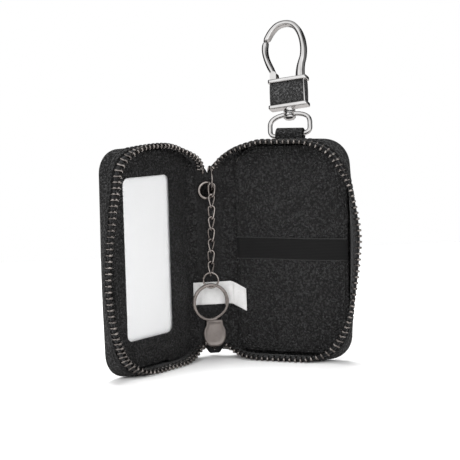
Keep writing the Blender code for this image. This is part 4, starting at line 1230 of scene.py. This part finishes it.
def chain():
    """Jump ring, twisted curb links, small ring and split key ring, all of drawn wire."""
    jump, places = chain_places()
    turns = np.linspace(0.0, math.tau, 64, endpoint=False)
    circle = np.stack([np.cos(turns), np.zeros(64), np.sin(turns)], axis=1)
    round_wire("jump_ring_wire", jump + circle[:, (1, 0, 2)] * 6.2, 0.53, "jump_ring", (1.0, 0.0, 0.0))
    for number, (place, axes) in enumerate(places[:8], 1):
        path, ups = link_line(38.0 if number % 2 else -38.0)
        round_wire(f"curb_link_{number}", place + path @ axes.T, 0.5, f"chain_link_{number}", ups @ axes.T)
    place, axes = places[8]
    small = circle * 3.85 - (0.0, 0.0, 3.85)
    round_wire("small_ring_wire", place + small @ axes.T, 0.52, "small_ring", axes[:, 1])
    place, axes = places[9]
    coil = coil_line() - (0.0, 0.0, key_ring_radius)
    round_wire("split_ring", place + coil @ axes.T, 0.4, "key_ring", axes[:, 1],
               closed=False, section=soft_rectangle(1.4, 0.86, 0.3, 3))


def link_line(twist):
    """Centre line of a link below its bearing point, twisted about its length, and its side directions."""
    straight, radius = 1.875, 1.625
    points = []
    for centre, start in ((straight, 0.0), (-straight, math.pi)):
        for t in np.linspace(start, start + math.pi, 17):
            points.append((radius * math.cos(t), 0.0, centre + radius * math.sin(t)))
        points += [(-math.copysign(radius, centre), 0.0, centre * share) for share in (0.6, 0.2, -0.2, -0.6)]
    points = np.array(points)
    angles = np.radians(twist) * points[:, 2] / (straight + radius)
    cos, sin = np.cos(angles), np.sin(angles)
    path = np.stack([points[:, 0] * cos, points[:, 0] * sin, points[:, 2] - straight - radius], axis=1)
    return path, np.stack([-sin, cos, np.zeros(len(points))], axis=1)


def coil_line():
    """Two flat turns side by side, crossing over where the two ends stop short of each other."""
    crossing, turns = 0.14, 1.84
    done = np.linspace(0.0, turns, 190)
    share = np.clip((done - turns / 2) / crossing + 0.5, 0.0, 1.0)
    angle = math.radians(-70.0) - math.tau * done
    return np.stack([key_ring_radius * np.cos(angle), -0.65 * np.cos(math.pi * share),
                     key_ring_radius * np.sin(angle)], axis=1)


def slot_tapes_and_painted_shadow():
    """The two strips of zip tape in the slider's slot. Below the spine's foot they run on down and close in
    to meet under the slider, a dark piece that is painted shadow.
    """
    for sign, name in ((-1, "left"), (1, "right")):
        heap = Heap()
        rows, spots = [], []
        for z in np.linspace(2.2, 19.2, 41):
            # Below the spine's foot the strips widen and close in until they meet: painted shadow under the
            # slider.
            low = min(1.0, max(0.0, (5.6 - z) / 2.2))
            width = 3.6 - 1.2 * max(0.0, 1 - (z - 2.2) / 1.4) ** 2
            away = 3.1 - (3.2 - width / 2) * low
            ring = [(slider_place + sign * (away + a), -1.95 + b, z)
                    for a, b in soft_rectangle(width, 0.8, 0.3, 3)]
            rows.append(ring)
            spots.append([(j * 0.4 * MM, z * MM) for j in range(len(ring))])
        heap.grid(rows, spots, close_columns=True)
        made = heap.made(f"slot_strip_with_painted_shadow_{name}", zip_fabric)
        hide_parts(f"slot_tape_{name}")
        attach(made, "spine")


# Slider
def plate_outline(scale=1.0):
    """Slider plate seen from the front: shoulders, a waist and a rounded foot."""
    half = [(0.0, 0.0), (2.2, 0.15), (3.9, 1.1), (5.1, 3.0), (5.72, 5.2), (5.75, 7.4), (5.3, 9.4),
            (4.55, 11.0), (4.3, 12.6), (4.1, 13.45), (3.6, 13.8), (0.0, 13.8)]
    right = smooth_curve([(x, 0.0, z) for x, z in half], 4)[:, (0, 2)]
    outline = np.vstack([right, (right * (-1, 1))[::-1][1:-1]])
    middle = np.array((0.0, 6.9))
    return middle + (outline - middle) * scale


def slider_body():
    """Crowned front and back plates with raised borders, joined by the neck through the slot."""
    heap = Heap()
    foot = 5.9
    for front, sign in ((-3.5, -1), (0.3, 1)):
        rows = []
        for scale, depth in ((0.9, 0.0), (0.985, 0.0), (1.0, 0.25), (1.0, 0.85), (0.97, 1.08), (0.9, 1.2),
                             (0.82, 1.16), (0.78, 0.98), (0.6, 1.02), (0.3, 1.1), (0.05, 1.12)):
            rows.append([(slider_place + x, front + sign * depth, foot + z) for x, z in plate_outline(scale)])
        start = len(heap.points)
        heap.grid(rows, close_columns=True)
        count = len(rows[0])
        heap.faces.append(tuple(start + (len(rows) - 1) * count + i for i in range(count)))
        heap.faces.append(tuple(start + i for i in reversed(range(count))))
    neck = [(slider_place + x, y, foot + 6.9 + z)
            for y in (-4.0, 0.9) for x, z in soft_rectangle(2.4, 4.6, 1.1, 4)]
    count = len(neck) // 2
    heap.add(neck, [(i, (i + 1) % count, count + (i + 1) % count, count + i) for i in range(count)])
    for side in (-1, 1):
        for edges in ((-3.55, -2.4), (0.35, -0.6)):
            wing = [(slider_place + side * x, y, foot + z)
                    for x, z in ((5.3, 3.0), (5.65, 5.2), (5.7, 7.4), (5.2, 9.6)) for y in edges]
            heap.grid(np.array(wing).reshape(4, 2, 3))
    made = heap.made("zip_slider", slider_metal)
    weld(made, 0.005)
    sharpen(made, 55)
    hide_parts("slider_body")
    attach(made, "slider")
    return made


# Hook
def hook_frame_axes():
    """Frame of the hook's post: turned with the page, leaned, tilted and swivelled."""
    turn = Matrix.Rotation(-right_rest, 3, "Z") @ Matrix.Rotation(-math.radians(6.5), 3, "Y")
    return turn @ Matrix.Rotation(-math.radians(17.5), 3, "X")


ring_axes = np.array(hook_frame_axes())
hook_axes = ring_axes @ np.array(Matrix.Rotation(-math.radians(1.0), 3, "Z"))
bar_place = np.array(Vector(joints["swivel_ring_swing"]["pos_m"])) / MM - case_origin


def in_ring(points):
    return bar_place + np.asarray(points, float) @ ring_axes.T


def in_hook(points):
    return bar_place + np.asarray(points, float) @ hook_axes.T


loop_shares = (
    (0.74, -0.04, 1.55), (0.75, 0.05, 1.55), (0.77, 0.14, 1.4), (0.83, 0.24, 1.15), (0.92, 0.34, 1.0),
    (0.96, 0.46, 1.0), (0.94, 0.58, 1.0), (0.87, 0.7, 1.0), (0.73, 0.82, 1.0), (0.5, 0.92, 1.0),
    (0.22, 0.965, 1.0), (-0.08, 0.97, 1.0), (-0.36, 0.94, 1.0), (-0.62, 0.86, 1.0), (-0.8, 0.77, 1.0),
    (-0.9, 0.705, 0.95))
gate_shares = (
    (-0.59, 0.124, 1.0), (-0.7, 0.21, 1.15), (-0.81, 0.3, 1.1), (-0.9, 0.39, 1.0), (-0.965, 0.49, 1.0),
    (-0.975, 0.59, 1.0), (-0.925, 0.685, 0.95))
block_foot, block_height, block_width, block_depth = 14.3, 15.8, 19.3, 4.7
loop_height, loop_half, loop_offset, loop_band, loop_depth = 30.8, 10.8, -1.6, 2.9, 4.6
gate_band = 2.6
pin_side, pin_rise, lug_radius = -7.55, 2.7, 1.7
pin_place = np.array((pin_side, 0.0, block_foot + block_height + pin_rise))


def loop_path(shares, steps=6):
    base = block_foot + block_height
    rows = [(loop_offset + loop_half * a, w * 0.001, base + loop_height * b) for a, b, w in shares]
    curve = smooth_curve(rows, steps)
    widths = curve[:, 1] / 0.001
    curve[:, 1] = 0.0
    return curve, widths


def crowned_section(width, depth):
    """Section of the cast loop: wide flat sides and rounded faces."""
    return soft_rectangle(width, depth, min(width, depth) * 0.42, 5)


def cast_sweep(heap, shares, band, depth_at):
    path, widths = loop_path(shares)
    run = unit(np.gradient(path, axis=0))
    away = unit(path[-3:] - pin_place)
    run[-3:] = away * np.sign(run[-1] @ away[-1])
    rows = []
    count = len(path)
    for i in range(count):
        side = np.cross(run[i], (0.0, 1.0, 0.0))
        t = i / (count - 1)
        scale = math.sqrt(1 - max(0.0, (t - 0.985) / 0.015) ** 2 * 0.3)
        for_section = crowned_section(band * widths[i] * scale, depth_at(t) * scale)
        rows.append([path[i] + side * a + np.array((0.0, b, 0.0)) for a, b in for_section])
    start = len(heap.points)
    rows = [in_hook(row) for row in rows]
    heap.grid(rows, close_columns=True)
    heap.cap(start, count, len(rows[0]))


def slab(heap, width, depth, low, high, radius=0.6, centre=(0.0, 0.0), edge=0.35):
    """A block with rounded corners and edges, upright in the hook's frame."""
    rows = []
    for z, inset in ((low, edge), (low + edge * 0.35, edge * 0.3), (low + edge, 0.0), (high - edge, 0.0),
                     (high - edge * 0.35, edge * 0.3), (high, edge)):
        outline = soft_rectangle(width - 2 * inset, depth - 2 * inset, max(0.15, radius - inset), 5)
        rows.append([(centre[0] + a, centre[1] + b, z) for a, b in outline])
    start = len(heap.points)
    heap.grid([in_hook(row) for row in rows], close_columns=True)
    ring = len(rows[0])
    heap.faces.append(tuple(start + i for i in reversed(range(ring))))
    heap.faces.append(tuple(start + (len(rows) - 1) * ring + i for i in range(ring)))


def hook_casting():
    """Loop, rails, the block inside the leather, the gate's ears and a bright strip down one side."""
    heap = Heap()
    cast_sweep(heap, loop_shares, loop_band, lambda t: loop_depth)
    top = block_foot + block_height
    slab(heap, block_width + 1.4, block_depth + 1.4, block_foot, block_foot + 2.0, 1.0)
    slab(heap, block_width + 1.4, block_depth + 1.4, top - 2.0, top, 1.0)
    slab(heap, block_width - 2.4, block_depth - 2.4, block_foot + 1.0, top - 1.0, 0.5)
    for sign in (-1, 1):
        ear(heap, sign * (block_depth / 2 - 0.25), 0.5)
    slab(heap, 0.9, block_depth + 0.5, block_foot + 1.5, top - 1.5, 0.4, (block_width / 2 - 0.75, 0.0))
    made = heap.made("hook_casting", chrome)
    sharpen(made, 45)
    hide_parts("hook_frame")
    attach(made, "hook")
    return made


def ear(heap, y, thickness):
    """Rounded lug that carries the gate's pin."""
    top = block_foot + block_height
    pin = top + pin_rise
    outline = [(pin_side - lug_radius, top - 1.0), (pin_side + lug_radius, top - 1.0)]
    outline += [(pin_side + lug_radius * math.cos(t), pin + lug_radius * math.sin(t))
                for t in np.linspace(0.0, math.pi, 11)]
    rows = [[(a, y + b, z) for a, z in outline] for b in (-thickness / 2, thickness / 2)]
    start = len(heap.points)
    heap.grid([in_hook(row) for row in rows], close_columns=True)
    heap.cap(start, len(rows), len(outline))


def hook_gate():
    """Sprung gate: a knuckle round the pin and a leaf that closes on the loop's nose."""
    heap = Heap()
    width = 3.6
    cast_sweep(heap, gate_shares, gate_band, lambda t: width + (loop_depth - width) * min(1.0, t * 3.0))
    pin = block_foot + block_height + pin_rise
    rows = []
    for y, r in ((-1.8, 1.35), (-1.62, 1.62), (-1.45, 1.7), (-1.1, 1.7), (-1.0, 1.6)):
        rows.append(in_hook([(pin_side + r * math.cos(t), y, pin + r * math.sin(t))
                             for t in np.arange(24) * math.tau / 24]))
    start = len(heap.points)
    heap.grid(rows, close_columns=True)
    heap.cap(start, len(rows), len(rows[0]))
    made = heap.made("hook_gate", chrome)
    sharpen(made, 45)
    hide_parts("gate")
    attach(made, "gate")
    return made


def hook_sleeve():
    """Leather wrapped round the block between its rails, tucked in at both ends."""
    low, high = block_foot + 2.15, block_foot + block_height - 2.15
    rows = []
    ring = soft_rectangle(block_width, block_depth, 0.9, 6)
    for t in np.linspace(0.0, 1.0, 22):
        bulge = 0.22 * math.sin(math.pi * t) ** 0.6
        z = low + (high - low) * t
        tuck = 0.35 * max(0.0, 1 - min(t, 1 - t) / 0.05)
        wider, deeper = 1 + (bulge - tuck) / block_width, 1 + 2 * (bulge - tuck) / block_depth
        rows.append(in_hook([(a * wider, b * deeper, z) for a, b in refined(ring, 5)]))
    heap = Heap()
    heap.grid(rows, close_columns=True)
    made = heap.made("hook_leather_wrap", strap_leather)
    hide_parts("hook_leather_sleeve")
    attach(made, "hook")
    return made


def refined(ring, steps):
    """More points along the straight runs of a ring."""
    points = []
    for a, b in zip(ring, ring[1:] + ring[:1]):
        a, b = np.array(a), np.array(b)
        parts = steps if np.linalg.norm(b - a) > 1.0 else 1
        points += [tuple(a + (b - a) * i / parts) for i in range(parts)]
    return points


def swivel_ring():
    """D ring whose lower bar is nearly flat, with a bored boss at its top."""
    heap = Heap()
    path = []
    for t in np.linspace(0, math.tau, 96, endpoint=False) - math.pi / 2:
        c, s = math.cos(t), math.sin(t)
        power = 2 / (5.0 if s < 0 else 2.5)
        path.append((10.6 * math.copysign(abs(c) ** power, c), 0.0,
                     5.55 * (1 + math.copysign(abs(s) ** power, s))))
    path = even(np.vstack([path, path[:1]]), 97)[:-1]
    rings = swept(path, soft_rectangle(2.2, 2.4, 0.85, 4), closed=True, up=(0.0, 1.0, 0.0))
    heap.grid([in_ring(ring) for ring in rings], close_rows=True, close_columns=True)
    made = heap.made("swivel_d_ring", chrome)
    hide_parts("swivel_ring")
    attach(made, "swivel_ring")
    profile = [(1.6, 9.9), (2.6, 9.9), (3.0, 10.2), (3.0, 11.9), (2.6, 12.25), (1.6, 12.25)]
    lathe("swivel_boss", profile, bar_place, chrome, "swivel_ring",
          axis="Z", turn=ring_axes)
    return made


def swivel_rivet():
    """Rivet with a domed head inside the ring and a stepped collar under the block."""
    profile = [(0.01, 8.0), (1.2, 8.05), (2.4, 8.5), (3.05, 9.15), (3.1, 9.6), (1.35, 9.65), (1.35, 12.4),
               (2.9, 12.45), (3.0, 12.6), (3.0, 13.5), (2.5, 13.7), (2.5, 14.25), (0.01, 14.25)]
    return lathe("swivel_rivet_head", profile, bar_place, chrome, "hook",
                 ("swivel_rivet",), axis="Z", turn=hook_axes)


# Strap
def hanging_strap():
    """Leather strap up the back, over the ring's bar and down again, with turned edges and stitching."""
    loop = 1.2 + 1.4 + 0.6
    front = 0.3 + 0.6
    rear = front + 1.5
    centre = front + loop
    bar = 113.2
    neck = bar - 9.0
    path = [(0, front, z) for z in np.linspace(86.0, neck, 12)]
    path += [(0, front, z) for z in np.linspace(neck, bar, 6)[1:]]
    for t in np.linspace(0, math.pi, 19)[1:-1]:
        path.append((0, centre - loop * math.cos(t), bar + loop * math.sin(t)))
    down = [(0, centre + loop, bar), (0, (centre + loop + rear) / 2, (bar + neck) / 2), (0, rear, neck),
            (0, rear, 86.0)]
    path += [tuple(p) for p in smooth_curve(down, 8)]
    path = even(np.array(path, float), 110)
    section = refined(soft_rectangle(1.2, 14.0, 0.5, 4), 8)
    rings = swept(path, section, up=(1.0, 0.0, 0.0))
    angle = rest_angle[1]

    def onto_page(points):
        points = np.asarray(points, float)
        return np.array([page(1, 30.5 + p[0], p[2], half_leather - (p[1] + half_leather)) for p in points])
    heap = Heap()
    rows = [onto_page(ring) for ring in rings]
    heap.grid(rows, close_columns=True)
    heap.cap(0, len(rows), len(rows[0]))
    made = heap.made("strap_leather", black_leather)
    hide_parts("hanging_strap")
    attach(made, "right_half")
    heap = Heap()
    for x in (-5.4, 5.4):
        line = onto_page([(x, rear + 0.6, z) for z in np.linspace(88.0, neck - 1.0, 30)])
        out = np.tile((math.sin(angle), math.cos(angle), 0.0), (len(line), 1))
        stitch_run(heap, line, out, 3.0, 2.4, 0.2, 0.03)
    made = heap.made("strap_stitches", black_thread)
    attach(made, "right_half")
    return made


# Carried-over nodes
def refinish():
    """Give the CAD nodes that stay their own finishes."""
    finishes = {
        "left_board": fibreboard, "right_board": fibreboard, "spine_board": fibreboard,
        "id_card_insert": white_card, "id_window_film": film, "eyelet_washer": gunmetal,
        "slider_bridge": gunmetal, "pull_tab": gunmetal, "gate_pin": chrome, "gate_spring": gunmetal}
    for name, finish in finishes.items():
        for place in frame["nodes"][name].material_slots:
            place.material = finish


# Stage, light and camera
def stage():
    """A pale floor before an open white background, and soft lamps. In reflections the floor is painted dark
    grey, a painted reflection of darker surroundings.
    """
    shade = Shade("Pale_floor", Specular_IOR_Level=0.2)
    cloud = shade.noise(shade.place(), 6.0, 2.0, 0.5)
    pale = shade.mix(cloud, (0.76, 0.76, 0.76), (0.78, 0.78, 0.78))
    # For glossy rays the floor is painted dark grey: a painted reflection of darker surroundings.
    mirrored = shade.named("ShaderNodeLightPath", {}, output="Is Glossy Ray")
    floor_look = shade.finish(shade.mix(mirrored, pale, (0.3, 0.29, 0.285)), 0.9 - cloud * 0.05)
    rows = []
    for y, z in ((-900, 0), (0, 0), (420, 0)):
        rows.append([(x, y, z) for x in (-1500, 0, 1500)])
    floor = lay("floor", np.array(rows, float).reshape(-1, 3), grid_faces(len(rows), 3), floor_look)
    world = bpy.data.worlds.new("Studio")
    bpy.context.scene.world = world
    world.use_nodes = True
    room(world.node_tree)
    lamp("Key_light", (-560, -380, 440), (0, 0, 60), 600, 5.2)
    lamp("Fill_light", (620, -420, 320), (0, 0, 60), 380, 2.6)
    lamp("Top_light", (0, 70, 760), (0, 0, 40), 420, 7.0)
    lamp("Back_light", (-260, 620, 560), (0, 0, 60), 420, 2.5)


def room(tree):
    """White to the camera, even for matt surfaces; reflections bright in front and above, dark behind."""
    path = tree.nodes.new("ShaderNodeLightPath")
    spot = tree.nodes.new("ShaderNodeTexCoord")
    apart = tree.nodes.new("ShaderNodeSeparateXYZ")
    tree.links.new(spot.outputs["Generated"], apart.inputs[0])

    def ramp(source, values):
        made = tree.nodes.new("ShaderNodeMapRange")
        made.interpolation_type = "SMOOTHSTEP"
        for key, value in zip(("From Min", "From Max", "To Min", "To Max"), values):
            made.inputs[key].default_value = value
        tree.links.new(source, made.inputs["Value"])
        return made.outputs[0]

    def total(first, second, operation):
        made = tree.nodes.new("ShaderNodeMath")
        made.operation = operation
        tree.links.new(first, made.inputs[0])
        tree.links.new(second, made.inputs[1])
        return made.outputs[0]
    front = ramp(apart.outputs[1], (-0.97, -0.5, 1.25, 0.01))
    ceiling = ramp(apart.outputs[2], (0.7, 0.98, 0.0, 0.5))
    aside = tree.nodes.new("ShaderNodeVectorMath")
    aside.operation = "DOT_PRODUCT"
    aside.inputs[1].default_value = (-0.66, -0.51, 0.55)
    tree.links.new(spot.outputs["Generated"], aside.inputs[0])
    left = ramp(aside.outputs["Value"], (0.85, 0.96, 0.0, 1.0))
    right = ramp(apart.outputs[0], (0.75, 0.95, 0.0, 0.22))
    glossy = total(total(front, ceiling, "MAXIMUM"), total(left, right, "MAXIMUM"), "MAXIMUM")
    strength = tree.nodes.new("ShaderNodeMix")
    strength.inputs[2].default_value = 0.36
    tree.links.new(path.outputs["Is Glossy Ray"], strength.inputs[0])
    tree.links.new(glossy, strength.inputs[3])
    seen = tree.nodes.new("ShaderNodeMix")
    seen.inputs[3].default_value = 1.0
    tree.links.new(path.outputs["Is Camera Ray"], seen.inputs[0])
    tree.links.new(strength.outputs[0], seen.inputs[2])
    background = tree.nodes["Background"]
    background.inputs["Color"].default_value = (1.0, 1.0, 1.0, 1.0)
    tree.links.new(seen.outputs[0], background.inputs["Strength"])


def lamp(name, place, target, size, power):
    light = bpy.data.lights.new(name, "AREA")
    light.energy = power
    light.shape = "SQUARE"
    light.size = size * MM
    made = bpy.data.objects.new(name, light)
    place = (np.array(place, float) + case_origin) * MM
    target = (np.array(target, float) + case_origin) * MM
    made.location = place
    made.rotation_euler = (Vector(place) - Vector(target)).to_track_quat("Z", "Y").to_euler()
    made.visible_glossy = False
    bpy.context.scene.collection.objects.link(made)


def camera():
    yaw, pitch, roll = 0.18155, -0.10604, -0.02567
    place = (np.array((-103.82, -626.51, 133.03)) + case_origin) * MM
    ahead = Vector((math.sin(yaw) * math.cos(pitch), math.cos(yaw) * math.cos(pitch), math.sin(pitch)))
    level = Vector((math.cos(yaw), -math.sin(yaw), 0.0))
    upright = level.cross(ahead)
    right = level * math.cos(roll) + upright * math.sin(roll)
    up = upright * math.cos(roll) - level * math.sin(roll)
    data = bpy.data.cameras.new("Camera")
    data.sensor_width = 36.0
    data.lens = 1246.54 / 460 * data.sensor_width
    data.clip_start = 0.01
    made = bpy.data.objects.new("Camera", data)
    made.matrix_world = Matrix((
        (right.x, up.x, -ahead.x, place[0]), (right.y, up.y, -ahead.y, place[1]),
        (right.z, up.z, -ahead.z, place[2]), (0, 0, 0, 1)))
    bpy.context.scene.collection.objects.link(made)
    bpy.context.scene.camera = made


stage()
camera()
for side in (-1, 1):
    outer_leather(side)
    wall_stitches(side)
    zip_tape(side)
    zip_cord(side)
    zip_teeth(side)
spine_leather()
end_stops()
window_leather()
spine_lining()
right_fold_lining()
right_panel()
panel_stitches()
elastic_strap()
label_ribbon()
eyelet()
chain()
slot_tapes_and_painted_shadow()
slider_body()
hook_casting()
hook_gate()
hook_sleeve()
swivel_ring()
swivel_rivet()
hanging_strap()
refinish()
bpy.context.scene.view_settings.view_transform = "Standard"
